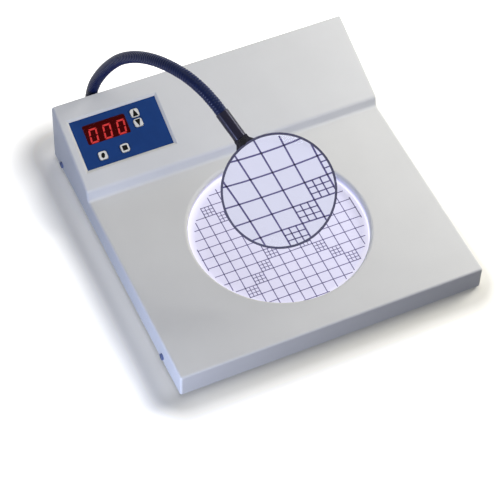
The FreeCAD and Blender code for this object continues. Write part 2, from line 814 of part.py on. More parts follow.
def light_ring():
    """The ring of LEDs under the plate, with a white reflector in its middle."""
    board = new_body("light_board")
    sketch = new_sketch(board)
    circle(sketch, "0", "0", f"{LIGHT_RING} + light_ring_width")
    circle(sketch, "0", "0", f"{LIGHT_RING} - light_ring_width")
    pad(board, sketch, "board_thickness")
    keep(place(board, "0", PLATE_Y, f"{FLOOR} + light_standoff"), "light_board")
    posts = []
    for quarter in range(4):
        angle = f"({quarter} * 90 + 45)"
        x = f"{LIGHT_RING} / 2 * cos({angle})"
        y = f"{PLATE_Y} + {LIGHT_RING} / 2 * sin({angle})"
        posts.append(place(cylinder(f"light_post_{quarter}", "light_post_diameter", "light_standoff"), x, y, FLOOR))
    group("light_posts", posts)
    count = int(value("led_count"))
    chip = new_body("light_led")
    sketch = new_sketch(chip)
    rectangle(sketch, "-led_length / 2", "-led_width / 2", "led_length", "led_width")
    pad(chip, sketch, "led_height")
    spots = []
    for index in range(count):
        angle = f"({index} * 360 / led_count)"
        x = f"{LIGHT_RING} / 2 * cos({angle})"
        y = f"{PLATE_Y} + {LIGHT_RING} / 2 * sin({angle})"
        spots.append(at(x, y, LIGHT_TOP, FreeCAD.Rotation(V(0, 0, 1), 90 + index * 360 / count)))
    copies("light_leds", [(chip, spots)])
    across = f"{LIGHT_RING} - light_ring_width - 2 * reflector_gap"
    disc = cylinder("reflector_disc", across, "reflector_thickness")
    keep(place(disc, "0", PLATE_Y, FLOOR), "reflector_disc")


def keypad_holes(sketch):
    """The window and the key holes, as the carrier and the overlay both have them."""
    rounded_rectangle(sketch, *WINDOW_MIDDLE, WINDOW_WIDTH, WINDOW_HEIGHT, "window_corner")
    for across, along in KEY_SPOTS.values():
        rounded_rectangle(sketch, across, along, KEY_HOLE, KEY_HOLE, f"({KEY_CORNER} + key_gap)")


STUDS = [(across, along) for across in (f"{KEYPAD_X} + stud_inset", f"{KEYPAD_X} + keypad_width - stud_inset")
         for along in ("keypad_bottom - stud_margin", f"keypad_bottom + {KEYPAD_HEIGHT} + stud_margin")]


def keypad():
    carrier = new_body("keypad_carrier")
    sketch = new_sketch(carrier)
    left = f"{KEYPAD_X} - carrier_side"
    wide = "keypad_width + 2 * carrier_side"
    rectangle(sketch, left, "keypad_bottom - carrier_end", wide, f"{KEYPAD_HEIGHT} + 2 * carrier_end")
    keypad_holes(sketch)
    for across, along in STUDS:
        circle(sketch, across, along, "screw_hole")
    pad(carrier, sketch, "carrier_thickness")
    keep(on_panel(carrier, out=CARRIER_BACK), "keypad_carrier")
    overlay = new_body("keypad_overlay")
    sketch = new_sketch(overlay)
    left = f"{KEYPAD_X} + overlay_gap"
    wide = "keypad_width - 2 * overlay_gap"
    rectangle(sketch, left, "keypad_bottom + overlay_gap", wide, f"{KEYPAD_HEIGHT} - 2 * overlay_gap")
    keypad_holes(sketch)
    pad(overlay, sketch, "overlay_thickness")
    keep(on_panel(overlay, out="-sheet"), "keypad_overlay")
    thick = "carrier_thickness + overlay_thickness - window_inset"
    window = new_body("display_window")
    sketch = new_sketch(window)
    rounded_rectangle(sketch, "0", "0", WINDOW_WIDTH, WINDOW_HEIGHT, "window_corner")
    pad(window, sketch, thick)
    keep(on_panel(window, *WINDOW_MIDDLE, CARRIER_BACK), "display_window")
    for key, (across, along) in KEY_SPOTS.items():
        cap = new_body(key)
        sketch = new_sketch(cap)
        rounded_rectangle(sketch, "0", "0", KEY_SIZE, KEY_SIZE, KEY_CORNER)
        pad(cap, sketch, "carrier_thickness + overlay_thickness + key_rise")
        sketch = new_sketch(cap)
        rectangle(sketch, f"-{KEY_SIZE} / 2 - key_lip", f"-{KEY_SIZE} / 2", f"{KEY_SIZE} + 2 * key_lip", KEY_SIZE)
        pad(cap, sketch, "key_lip_thickness", back=True)
        keep(on_panel(cap, across, along, CARRIER_BACK), key)
    stud = cylinder("stud", "screw_thread", "stud_length")
    lock = nut("stud_nut", "nut_across", "nut_height", THREAD_HOLE)
    fixings = [(stud, [at_panel(across, along, "-sheet - stud_length") for across, along in STUDS])]
    fixings.append((lock, [at_panel(across, along, f"{CARRIER_BACK} - nut_height") for across, along in STUDS]))
    copies("carrier_fixings", fixings)


def seven_segment_zero(left, low):
    """The six lit strokes of a nought on the panel, as outlines that lean to the right."""
    tall = value("segment_height")
    wide = value("segment_span")
    stroke = value("segment_width")
    gap = value("segment_gap")
    lean = math.tan(math.radians(value("segment_lean")))
    half = tall / 2
    strokes = []
    for low_end, high_end in ((0, half), (half, tall)):
        low_point = low_end + gap + (stroke / 2 if low_end == 0 else 0)
        high_point = high_end - gap - (stroke / 2 if high_end == tall else 0)
        for edge, inner in ((0, stroke), (wide, wide - stroke)):
            step = stroke / 2
            strokes.append([(edge, low_point), (inner, low_point + step), (inner, high_point - step), (edge, high_point)])
    for edge, inner in ((0, stroke), (tall, tall - stroke)):
        strokes.append([(gap, edge), (gap + stroke, inner), (wide - gap - stroke, inner), (wide - gap, edge)])
    for points in strokes:
        yield [V(left + x + y * lean, low + y, 0) for x, y in points]


def control_board():
    board = new_body("control_board")
    sketch = new_sketch(board)
    rectangle(sketch, KEYPAD_X, "keypad_bottom", "keypad_width", KEYPAD_HEIGHT)
    posts = list(corners_of(KEYPAD_X, "keypad_bottom", "keypad_width", KEYPAD_HEIGHT, "board_post_inset"))
    for across, along in posts:
        circle(sketch, across, along, "screw_hole")
    pad(board, sketch, "board_thickness")
    keep(on_panel(board, out=BOARD_BACK), "control_board")
    post = cut_away("board_post", cylinder("post_blank", "board_post_diameter", "board_drop"),
                    cylinder("post_bore", THREAD_HOLE, "board_drop"))
    copies("board_posts", [(post, [at_panel(across, along, BOARD_FACE) for across, along in posts])])
    fixing = screw("board_screw", "board_screw_length")
    copies("board_screws", [(fixing, [at_panel(across, along, BOARD_BACK, "180") for across, along in posts])])
    middle = f"({WINDOW_MIDDLE[0]} + digit_right_share * {WINDOW_WIDTH})"
    centre = f"({WINDOW_MIDDLE[1]} - digit_drop_share * {WINDOW_HEIGHT})"
    wide = "digit_pitch - digit_block_gap"
    tall = f"({CARRIER_BACK} - digit_clearance - {BOARD_FACE})"
    blocks = []
    faces = []
    for index in range(int(value("digit_count"))):
        block = box(f"digit_block_{index}", wide, "digit_block_height", tall)
        left = f"{middle} + ({index} - digit_count / 2) * digit_pitch + digit_block_gap / 2"
        blocks.append(on_panel(block, left, f"{centre} - digit_block_height / 2", BOARD_FACE))
        inset = f"({wide} - segment_span - segment_height * tan(segment_lean)) / 2"
        spot = (value(f"{left} + {inset}"), value(f"{centre} - segment_height / 2"))
        faces += [Part.Face(Part.makePolygon(points + points[:1])) for points in seven_segment_zero(*spot)]
    group("digit_blocks", blocks)
    lit = doc.addObject("Part::Feature", "digit_segments")
    lit.Shape = Part.makeCompound([face.extrude(V(0, 0, value("segment_thickness"))) for face in faces])
    keep(on_panel(lit, out=f"{CARRIER_BACK} - digit_clearance"), "digit_segments")
    reach = f"({CARRIER_BACK} - key_lip_thickness - key_travel - key_clearance - {BOARD_FACE})"
    case = place(box("switch_case", "switch_size", "switch_size", "switch_body"), "-switch_size / 2", "-switch_size / 2")
    switch = joined("key_switch", [case, cylinder("switch_stem", "switch_plunger", reach)])
    spots = [at_panel(across, along, BOARD_FACE) for across, along in KEY_SPOTS.values()]
    copies("key_switches", [(switch, spots)])
    buzzer = cylinder("buzzer", "buzzer_diameter", "buzzer_height")
    keep(on_panel(buzzer, middle, centre, f"{BOARD_BACK} - buzzer_height"), "buzzer")
    chip = box("board_chip", "chip_length", "chip_width", "chip_height")
    right = f"{KEYPAD_X} + keypad_width - 2 * chip_length"
    low = f"{BOARD_BACK} - chip_height"
    rows = ("keypad_bottom + chip_width", "keypad_bottom + 3 * chip_width")
    copies("board_chips", [(chip, [at_panel(right, along, low) for along in rows])])


def power_supply():
    board = new_body("power_board")
    sketch = new_sketch(board)
    rectangle(sketch, "0", "0", "power_board_width", "power_board_depth")
    posts = list(corners_of("0", "0", "power_board_width", "power_board_depth", "power_post_inset"))
    for x, y in posts:
        circle(sketch, x, y, "screw_hole")
    pad(board, sketch, "board_thickness")
    keep(place(board, POWER_X, POWER_Y, f"{FLOOR} + power_standoff"), "power_board")
    spots = [(f"{POWER_X} + {x}", f"{POWER_Y} + {y}") for x, y in posts]
    post = cut_away("power_post", cylinder("power_post_blank", "power_post_diameter", "power_standoff"),
                    cylinder("power_post_bore", THREAD_HOLE, "power_standoff"))
    copies("power_posts", [(post, [at(x, y, FLOOR) for x, y in spots])])
    fixing = screw("power_screw", "power_screw_length")
    copies("power_board_screws", [(fixing, [at(x, y, POWER_FACE) for x, y in spots])])
    core = new_body("transformer")
    sketch = new_sketch(core)
    rectangle(sketch, "0", "0", "transformer_width", "transformer_depth")
    block = pad(core, sketch, "transformer_height")
    low = block.Shape.BoundBox.ZMin
    dress(core, "PartDesign::Chamfer", "transformer_edges", lambda edge: edge.BoundBox.ZMin > low,
          Size="transformer_bevel")
    inset = "(power_board_depth - transformer_depth) / 2"
    side = f"{POWER_X} + power_board_width - transformer_right - transformer_width"
    keep(place(core, side, f"{POWER_Y} + {inset}", POWER_FACE), "transformer")
    row = f"{POWER_Y} + power_board_depth / 2"
    start = f"{POWER_X} + capacitor_left"
    can = cylinder("capacitor", "capacitor_diameter", "capacitor_height")
    spots = [at(f"{start} + {index} * capacitor_spacing", row, POWER_FACE) for index in range(2)]
    copies("capacitors", [(can, spots)])
    clip = "fuse_diameter + 2 * fuse_clip_wall"
    start = f"{POWER_X} + fuse_left"
    row = f"{POWER_Y} + fuse_row"
    fuse = cylinder("fuse", "fuse_diameter", "fuse_length")
    level = f"{POWER_FACE} + fuse_diameter / 2 + fuse_clip_wall"
    keep(place(fuse, start, row, level, HEAD_RIGHT), "fuse")
    clips = []
    for index, x in enumerate((start, f"{start} + fuse_length - fuse_clip_length")):
        block = box(f"clip_block_{index}", "fuse_clip_length", clip, f"({clip}) * 0.75")
        place(block, x, f"{row} - ({clip}) / 2", POWER_FACE)
        hollow = place(cylinder(f"clip_hollow_{index}", "fuse_diameter", "fuse_clip_length"), x, row, level, HEAD_RIGHT)
        clips.append(cut_away(f"clip_{index}", block, hollow))
    group("fuse_clips", clips)


INLET_Z = "(foot_height + inlet_z)"
PINS = [(f"{INLET_X} - pin_spacing / 2", f"{INLET_Z} - pin_offset / 2"), (INLET_X, f"{INLET_Z} + pin_offset / 2"),
        (f"{INLET_X} + pin_spacing / 2", f"{INLET_Z} - pin_offset / 2")]
TAIL_Y = f"({REAR} + inlet_flange_thickness - inlet_body_depth - pin_tail)"


def mains_inlet():
    body = new_body("mains_inlet")
    sketch = new_sketch(body, "XZ_Plane")
    rectangle(sketch, "-inlet_flange_width / 2", "-inlet_flange_height / 2", "inlet_flange_width", "inlet_flange_height")
    for side in ("-1", "1"):
        circle(sketch, f"{side} * inlet_screw_spacing / 2", "0", "screw_hole")
    pad(body, sketch, "inlet_flange_thickness", back=True)
    sketch = new_sketch(body, "XZ_Plane", "-inlet_flange_thickness")
    rectangle(sketch, "-inlet_body_width / 2", "-inlet_body_height / 2", "inlet_body_width", "inlet_body_height")
    pad(body, sketch, "inlet_body_depth")
    sketch = new_sketch(body, "XZ_Plane", "-inlet_flange_thickness")
    rectangle(sketch, "-inlet_cavity_width / 2", "-inlet_cavity_height / 2", "inlet_cavity_width",
              "inlet_cavity_height")
    pocket(body, sketch, "inlet_cavity_depth", back=True)
    sketch = new_sketch(body, "XZ_Plane")
    for x, z in PINS:
        across = f"{x} - {INLET_X} - pin_width / 2"
        rectangle(sketch, across, f"{z} - {INLET_Z} - pin_height / 2", "pin_width", "pin_height")
    pocket(body, sketch, "2 * inlet_body_depth", symmetric=True)
    place(body, INLET_X, REAR, INLET_Z)
    keep(body, "mains_inlet")
    blades = []
    for index, (x, z) in enumerate(PINS):
        blade = box(f"blade_{index}", "pin_width", f"{INLET_FLOOR} + pin_reach - {TAIL_Y}", "pin_height")
        blades.append(place(blade, f"{x} - pin_width / 2", TAIL_Y, f"{z} - pin_height / 2"))
    group("inlet_pins", blades)
    fixing = screw("inlet_screw", "inlet_screw_length")
    face = f"{REAR} + inlet_flange_thickness"
    spots = [at(f"{INLET_X} + {side} * inlet_screw_spacing / 2", face, INLET_Z, HEAD_REAR) for side in ("-1", "1")]
    copies("inlet_screws", [(fixing, spots)])


SWITCH_Z = "(foot_height + switch_z)"
PIVOT_Y = f"({REAR} + switch_frame_thickness - rocker_pivot_depth)"


def power_switch():
    frame = new_body("switch_frame")
    sketch = new_sketch(frame, "XZ_Plane")
    rectangle(sketch, "-switch_frame_width / 2", "-switch_frame_height / 2", "switch_frame_width", "switch_frame_height")
    pad(frame, sketch, "switch_frame_thickness", back=True)
    sketch = new_sketch(frame, "XZ_Plane", "-switch_frame_thickness")
    rectangle(sketch, "-switch_shell_width / 2", "-switch_shell_height / 2", "switch_shell_width", "switch_shell_height")
    pad(frame, sketch, "switch_shell_depth")
    sketch = new_sketch(frame, "XZ_Plane", "-switch_frame_thickness")
    rectangle(sketch, "-switch_mouth_width / 2", "-switch_mouth_height / 2", "switch_mouth_width", "switch_mouth_height")
    pocket(frame, sketch, "switch_mouth_depth", back=True)
    sketch = new_sketch(frame, "YZ_Plane")
    circle(sketch, "switch_frame_thickness - rocker_pivot_depth", "0", "rocker_pin + 2 * rocker_pin_gap")
    pocket(frame, sketch, "switch_mouth_width + 2 * rocker_pin_seat", symmetric=True)
    keep(place(frame, SWITCH_X, REAR, SWITCH_Z), "switch_frame")
    rocker = new_body("power_rocker")
    sketch = new_sketch(rocker, "YZ_Plane")
    half = "rocker_length / 2"
    tip = "rocker_pivot_depth + rocker_rise"
    dip = "rocker_pivot_depth + rocker_dip"
    outline(sketch, [(tip, half), (dip, "0"), (tip, f"-{half}"), ("0", f"-{half}"), ("-rocker_root", "0"), ("0", half)])
    pad(rocker, sketch, "switch_mouth_width - 2 * rocker_side_gap", symmetric=True)
    sketch = new_sketch(rocker, "YZ_Plane")
    circle(sketch, "0", "0", "rocker_pin")
    pad(rocker, sketch, "switch_mouth_width + 2 * rocker_pin_seat - 2 * rocker_pin_gap", symmetric=True)
    place(rocker, SWITCH_X, PIVOT_Y, SWITCH_Z, FreeCAD.Rotation(V(1, 0, 0), 1))
    rocker.setExpression("Placement.Rotation.Angle", formula("-rocker_angle"))
    keep(rocker, "power_rocker")


def lead(corners):
    """A round lead along straight runs with a tangent arc at each corner."""
    points = [V(*corner) for corner in corners]
    bend = value("lead_bend")
    edges = []
    start = points[0]
    for before, corner, after in zip(points, points[1:], points[2:]):
        back = (before - corner).normalize()
        ahead = (after - corner).normalize()
        half = back.getAngle(ahead) / 2
        leg = bend / math.tan(half)
        first = corner + back * leg
        last = corner + ahead * leg
        bisector = (back + ahead).normalize()
        middle = corner + bisector * (bend / math.sin(half) - bend)
        edges += [Part.LineSegment(start, first).toShape(), Part.Arc(first, middle, last).toShape()]
        start = last
    edges.append(Part.LineSegment(start, points[-1]).toShape())
    path = Part.Wire(edges)
    section = Part.Wire(Part.makeCircle(value("lead_diameter / 2"), points[0], points[1] - points[0]))
    return path.makePipeShell([section], True, False)


def panel_point(across, along, out):
    """A point on the sloping panel's frame, in the part's own."""
    tilt = math.radians(value("panel_tilt"))
    y = value(PANEL_Y) + along * math.cos(tilt) - out * math.sin(tilt)
    z = value(PANEL_Z) + along * math.sin(tilt) + out * math.cos(tilt)
    return V(across, y, z)


def inner_leads():
    """Leads inside the housing, from face to face of what they join."""
    step = 2 * value("lead_bend")
    lamp_x = value(f"{POWER_X} + lamp_lead_left")
    light_radius = value(f"({LIGHT_RING} + light_ring_width) / 2")
    light_edge = value(PLATE_Y) + math.sqrt(light_radius ** 2 - lamp_x ** 2)
    light_z = value(f"{FLOOR} + light_standoff + board_thickness / 2")
    power_front = value(POWER_Y)
    power_z = value(f"{FLOOR} + power_standoff + board_thickness / 2")
    low_end = value(f"{PLATE_Y} + {OPENING} / 2 + well_wall") + step / 2
    lamp = [(lamp_x, light_edge, light_z), (lamp_x, low_end, light_z), (lamp_x, power_front - step / 2, power_z),
            (lamp_x, power_front, power_z)]
    board_x = value(f"{KEYPAD_X} + keypad_width") - step
    board_along = value(f"keypad_bottom + {KEYPAD_HEIGHT} / 2")
    out = value(BOARD_BACK)
    power_x = value(POWER_X) + 2 * step
    power_y = power_front + value("power_board_depth") / 2
    drop = panel_point(board_x, board_along, out - 1.5 * step)
    control = [panel_point(board_x, board_along, out), drop, V(power_x, power_y, drop.z)]
    control.append(V(power_x, power_y, value(POWER_FACE)))
    pins = [(value(x), value(TAIL_Y), value(z)) for x, z in PINS]
    switch_back = value(f"{REAR} + switch_frame_thickness - switch_shell_depth")
    poles = [(value(SWITCH_X) + side * step / 2, switch_back, value(SWITCH_Z)) for side in (-1, 1)]
    board_top = value(POWER_FACE)
    rear_edge = value(f"{POWER_Y} + power_board_depth") - step / 2
    bridge_y = pins[0][1] - 0.75 * step
    feed = [pins[0], (pins[0][0], bridge_y, pins[0][2]), (poles[1][0], bridge_y, poles[1][2]), poles[1]]
    live = [poles[0], (poles[0][0], rear_edge, poles[0][2]), (poles[0][0], rear_edge, board_top)]
    neutral = [pins[2], (pins[2][0], rear_edge, pins[2][2]), (pins[2][0], rear_edge, board_top)]
    for label, routes in (("lamp_lead", [lamp]), ("control_lead", [control]), ("mains_leads", [feed, live, neutral])):
        wires = doc.addObject("Part::Feature", label)
        wires.Shape = Part.makeCompound([lead(route) for route in routes])
        keep(wires, label)


NECK_Y = f"({REAR} + neck_setback)"
BALL = "(neck_root / 2)"
NECK_Z = "(foot_height + neck_start)"


def neck_base():
    """Bracket on the rear panel, and the bush that holds the gooseneck upright on its shelf."""
    bracket = new_body("neck_bracket")
    sketch = new_sketch(bracket, "YZ_Plane")
    thick = "bracket_thickness"
    outline(sketch, [("0", "0"), ("bracket_reach", "0"), ("bracket_reach", f"-{thick}"), (thick, f"-{thick}"),
                     (thick, "-bracket_drop"), ("0", "-bracket_drop")])
    pad(bracket, sketch, "bracket_width", symmetric=True)
    sketch = new_sketch(bracket)
    circle(sketch, "0", "neck_setback", "bush_hole")
    pocket(bracket, sketch)
    sketch = new_sketch(bracket, "XZ_Plane")
    for side in ("-1", "1"):
        circle(sketch, f"{side} * bracket_screw_spacing / 2", "-bracket_screw_drop", "screw_hole")
    pocket(bracket, sketch, "3 * bracket_thickness", symmetric=True)
    keep(place(bracket, NECK_X, REAR, BRACKET_TOP), "neck_bracket")
    level = f"{BRACKET_TOP} - bracket_screw_drop"
    sides = [f"{NECK_X} + {side} * bracket_screw_spacing / 2" for side in ("-1", "1")]
    fixing = screw("bracket_screw", "bracket_screw_length")
    lock = nut("bracket_nut", "nut_across", "nut_height", THREAD_HOLE)
    fixings = [(fixing, [at(x, f"{REAR} + bracket_thickness", level, HEAD_REAR) for x in sides])]
    fixings.append((lock, [at(x, f"{REAR} - sheet - nut_height", level, HEAD_REAR) for x in sides]))
    copies("bracket_fixings", fixings)
    ball_z = f"{NECK_Z} - {BRACKET_TOP}"
    thread = "bush_thread / 2"
    low = "-bracket_thickness - bush_tail"
    stem = turned("bush_stem", [
        ("0", low), (thread, low), (thread, "0"), ("bush_flange / 2", "0"), ("bush_flange / 2", "bush_flange_height"),
        ("bush_collar / 2", "bush_flange_height"), ("bush_collar / 2", f"{ball_z} - bush_neck"),
        (BALL, f"{ball_z} - bush_neck"), (BALL, ball_z), ("0", ball_z),
    ])
    ball = bind(doc.addObject("Part::Sphere", "bush_ball"), Radius=BALL)
    bush = joined("neck_bush", [stem, place(ball, "0", "0", ball_z)])
    keep(place(bush, NECK_X, NECK_Y, BRACKET_TOP), "neck_bush")
    lock = nut("neck_nut", "bush_nut_across", "bush_nut_height", "bush_thread + 2 * thread_gap")
    keep(place(lock, NECK_X, NECK_Y, f"{BRACKET_TOP} - bracket_thickness - bush_nut_height"), "neck_nut")


def neck_frame(reach, height, heading):
    """Placement at a point of the neck's plane: Z runs along the neck and X is the plane's steady normal."""
    turn = math.radians(value("neck_turn"))
    ahead = V(math.sin(turn), -math.cos(turn), 0)
    up = V(0, 0, 1)
    along = ahead * math.cos(heading) + up * math.sin(heading)
    across = ahead.cross(up)
    base = V(value(NECK_X), value(NECK_Y), 0)
    spot = base + ahead * reach + up * height
    return FreeCAD.Placement(spot, FreeCAD.Rotation(across, along.cross(across), along, "ZXY"))


def neck_arc(span, run):
    """Placement on the neck, a run along one of its spans."""
    length = value("neck_span")
    reach = 0.0
    height = value(NECK_Z)
    heading = math.pi / 2
    for index in range(1, span + 1):
        curve = math.radians(value(f"neck_bend_{index}")) / length
        step = run if index == span else length
        ahead = heading - curve * step
        reach += (math.sin(heading) - math.sin(ahead)) / curve
        height += (math.cos(ahead) - math.cos(heading)) / curve
        heading = ahead
    return neck_frame(reach, height, heading)


def ring(radius, frame):
    wire = Part.Wire(Part.makeCircle(radius))
    wire.Placement = frame
    return wire


def neck_span(span):
    """One ribbed span: a ball at its far end sits in the next span's cup, and a bore runs right through."""
    length = value("neck_span")
    crest = value("neck_crest / 2")
    root = value(BALL)
    first = value("span_start")
    ribs = round((length - first - value("span_end")) / value("rib_pitch"))
    pitch = (length - first - value("span_end")) / ribs
    rings = []
    for index in range(ribs):
        start = first + index * pitch
        for share, radius in ((0, root), (0.25, crest), (0.65, crest), (0.9, root)):
            rings.append(ring(radius, neck_arc(span, start + share * pitch)))
    rings.append(ring(root, neck_arc(span, length)))
    tube = Part.makeLoft(rings, True, True)
    end = neck_arc(span, length)
    dome = Part.makeSphere(root, V(), V(0, 0, 1), 0, 90, 360)
    dome.Placement = end
    cup = Part.makeSphere(root + value("ball_gap"))
    cup.Placement = neck_arc(span, 0)
    inner = value("neck_bore / 2")
    bores = [ring(inner, neck_arc(span, length * eighth / 8)) for eighth in range(9)]
    past = FreeCAD.Placement(V(0, 0, 2 * root), FreeCAD.Rotation())
    bores.append(ring(inner, end.multiply(past)))
    piece = doc.addObject("Part::Feature", f"neck_span_{span}")
    piece.Shape = tube.fuse(dome).cut(cup).cut(Part.makeLoft(bores, True, True))
    keep(piece, f"neck_span_{span}")


def neck_end():
    """Placement where the last span ends."""
    return neck_arc(round(value("neck_span_count")), value("neck_span"))


def lens_frame():
    """Placement at the lens centre: X points away from the sleeve and Z leaves the lens towards the eye."""
    end = neck_end()
    along = end.Rotation.multVec(V(0, 0, 1))
    across = end.Rotation.multVec(V(1, 0, 0))
    upward = across.cross(along)
    roll = math.radians(value("lens_roll"))
    normal = upward * math.cos(roll) + across * math.sin(roll)
    centre = end.Base + along * value(f"sleeve_length + saddle_depth + {RIM_RADIUS}")
    return FreeCAD.Placement(centre, FreeCAD.Rotation(along, normal.cross(along), normal, "ZXY"))


def magnifier():
    """Sleeve on the neck's last ball, split rim with its saddle and clamp screw, and the lens."""
    end = neck_end()
    radius = "sleeve_diameter / 2"
    narrow = f"{radius} - sleeve_chamfer"
    tube = turned("sleeve_blank", [
        ("0", "span_start"), (narrow, "span_start"), (radius, "span_start + sleeve_chamfer"),
        (radius, "sleeve_length - sleeve_chamfer"), (narrow, "sleeve_length"), ("0", "sleeve_length"),
    ])
    cup = bind(doc.addObject("Part::Sphere", "sleeve_cup"), Radius=f"{BALL} + ball_gap")
    sleeve = cut_away("lens_sleeve", tube, cup)
    sleeve.Placement = end
    keep(sleeve, "lens_sleeve")
    frame = lens_frame()
    inner = f"{RIM_RADIUS} - rim_wall"
    half = "rim_height / 2"
    seat = "(lens_edge / 2 + lens_seat_gap)"
    hoop = turned("rim_hoop", [
        (inner, f"-{half}"), (RIM_RADIUS, f"-{half}"), (RIM_RADIUS, half), (inner, half),
        (inner, seat), (LENS_RADIUS, seat), (LENS_RADIUS, f"-{seat}"), (inner, f"-{seat}"),
    ])
    back = f"-{RIM_RADIUS} - saddle_depth"
    flare = f"-{RIM_RADIUS} - saddle_flare"
    bite = f"-{RIM_RADIUS} + rim_wall / 2"
    saddle = new_body("rim_saddle")
    sketch = new_sketch(saddle)
    outline(sketch, [
        (back, "-saddle_neck / 2"), (flare, "-saddle_neck / 2"), (bite, "-saddle_width / 2"),
        (bite, "saddle_width / 2"), (flare, "saddle_neck / 2"), (back, "saddle_neck / 2"),
    ])
    pad(saddle, sketch, "saddle_height", symmetric=True)
    screw_x = f"{back} + screw_head / 2 + sheet_gap"
    hole = place(cylinder("rim_screw_hole", THREAD_HOLE, "saddle_height"), screw_x, "0", "-saddle_height / 2")
    rim = cut_away("lens_rim", joined("rim_blank", [hoop, saddle]), hole)
    rim.Placement = frame
    keep(rim, "lens_rim")
    bulge = f"(lens_curve - sqrt(lens_curve ^ 2 - {LENS_RADIUS} ^ 2))"
    offset = f"lens_curve - lens_edge / 2 - {bulge}"
    faces = [place(bind(doc.addObject("Part::Sphere", name), Radius="lens_curve"), "0", "0", f"{side} * ({offset})")
             for name, side in (("lens_face_near", "-1"), ("lens_face_far", "1"))]
    disc = cylinder("lens_disc", f"2 * {LENS_RADIUS}", "lens_curve")
    place(disc, "0", "0", "-lens_curve / 2")
    lens = doc.addObject("Part::MultiCommon", "lens")
    lens.Shapes = faces + [disc]
    lens.Placement = frame
    keep(lens, "lens")
    clamp = screw("rim_screw", "rim_screw_length")
    seat_spot = V(value(screw_x), 0, value("saddle_height / 2"))
    clamp.Placement = frame.multiply(FreeCAD.Placement(seat_spot, FreeCAD.Rotation()))
    keep(clamp, "rim_screw")


def build():
    housing_cover()
    chassis_tray()
    rear_panel()
    housing_fasteners()
    feet()
    plate_well()
    counting_plate()
    light_ring()
    keypad()
    control_board()
    power_supply()
    mains_inlet()
    power_switch()
    inner_leads()
    neck_base()
    for span in range(1, round(value("neck_span_count")) + 1):
        neck_span(span)
    magnifier()
    doc.recompute()


def write():
    """Checks every object and writes each sub-part to its own file."""
    for thing in doc.Objects:
        if {"Invalid", "Error"} & set(thing.State):
            raise RuntimeError(f"{thing.Name} failed: {thing.State}")
    for piece in subparts:
        if piece.Shape.isNull() or not piece.Shape.isValid() or not piece.Shape.Solids:
            raise RuntimeError(f"{piece.Label} has no sound shape")
    os.makedirs("parts", exist_ok=True)
    for piece in subparts:
        piece.Shape.exportStep(f"parts/{piece.Label}.step")
    print(f"{len(subparts)} sub-parts written")


build()
write()
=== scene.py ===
"""Studio scene of a digital colony counter.

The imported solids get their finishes, and the pieces that need a finer form are made here.
Metres, in the part's own frame, unless a name or a comment says millimetres.
"""
import bpy
import json
import math
from mathutils import Matrix, Vector


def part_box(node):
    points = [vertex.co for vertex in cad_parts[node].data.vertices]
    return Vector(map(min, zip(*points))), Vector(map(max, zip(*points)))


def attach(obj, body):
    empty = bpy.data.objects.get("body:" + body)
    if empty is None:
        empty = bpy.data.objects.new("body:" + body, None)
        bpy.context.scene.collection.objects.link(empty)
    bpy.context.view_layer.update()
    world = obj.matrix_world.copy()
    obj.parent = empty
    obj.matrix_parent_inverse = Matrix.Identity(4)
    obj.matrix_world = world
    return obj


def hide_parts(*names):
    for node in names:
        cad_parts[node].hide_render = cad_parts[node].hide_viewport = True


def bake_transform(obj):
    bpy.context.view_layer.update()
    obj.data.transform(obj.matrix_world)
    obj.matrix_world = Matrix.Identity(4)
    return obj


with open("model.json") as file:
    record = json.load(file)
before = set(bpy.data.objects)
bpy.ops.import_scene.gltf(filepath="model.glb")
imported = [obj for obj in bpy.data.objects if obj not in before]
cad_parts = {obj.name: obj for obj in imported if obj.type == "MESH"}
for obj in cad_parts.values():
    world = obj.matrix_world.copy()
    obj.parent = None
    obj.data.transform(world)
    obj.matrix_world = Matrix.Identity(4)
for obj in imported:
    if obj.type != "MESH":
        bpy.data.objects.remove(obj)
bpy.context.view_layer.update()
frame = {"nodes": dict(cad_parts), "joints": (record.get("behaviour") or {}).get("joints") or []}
nodes = frame["nodes"]
joints = {joint["name"]: joint for joint in frame["joints"]}
scene = bpy.context.scene
MM = 0.001


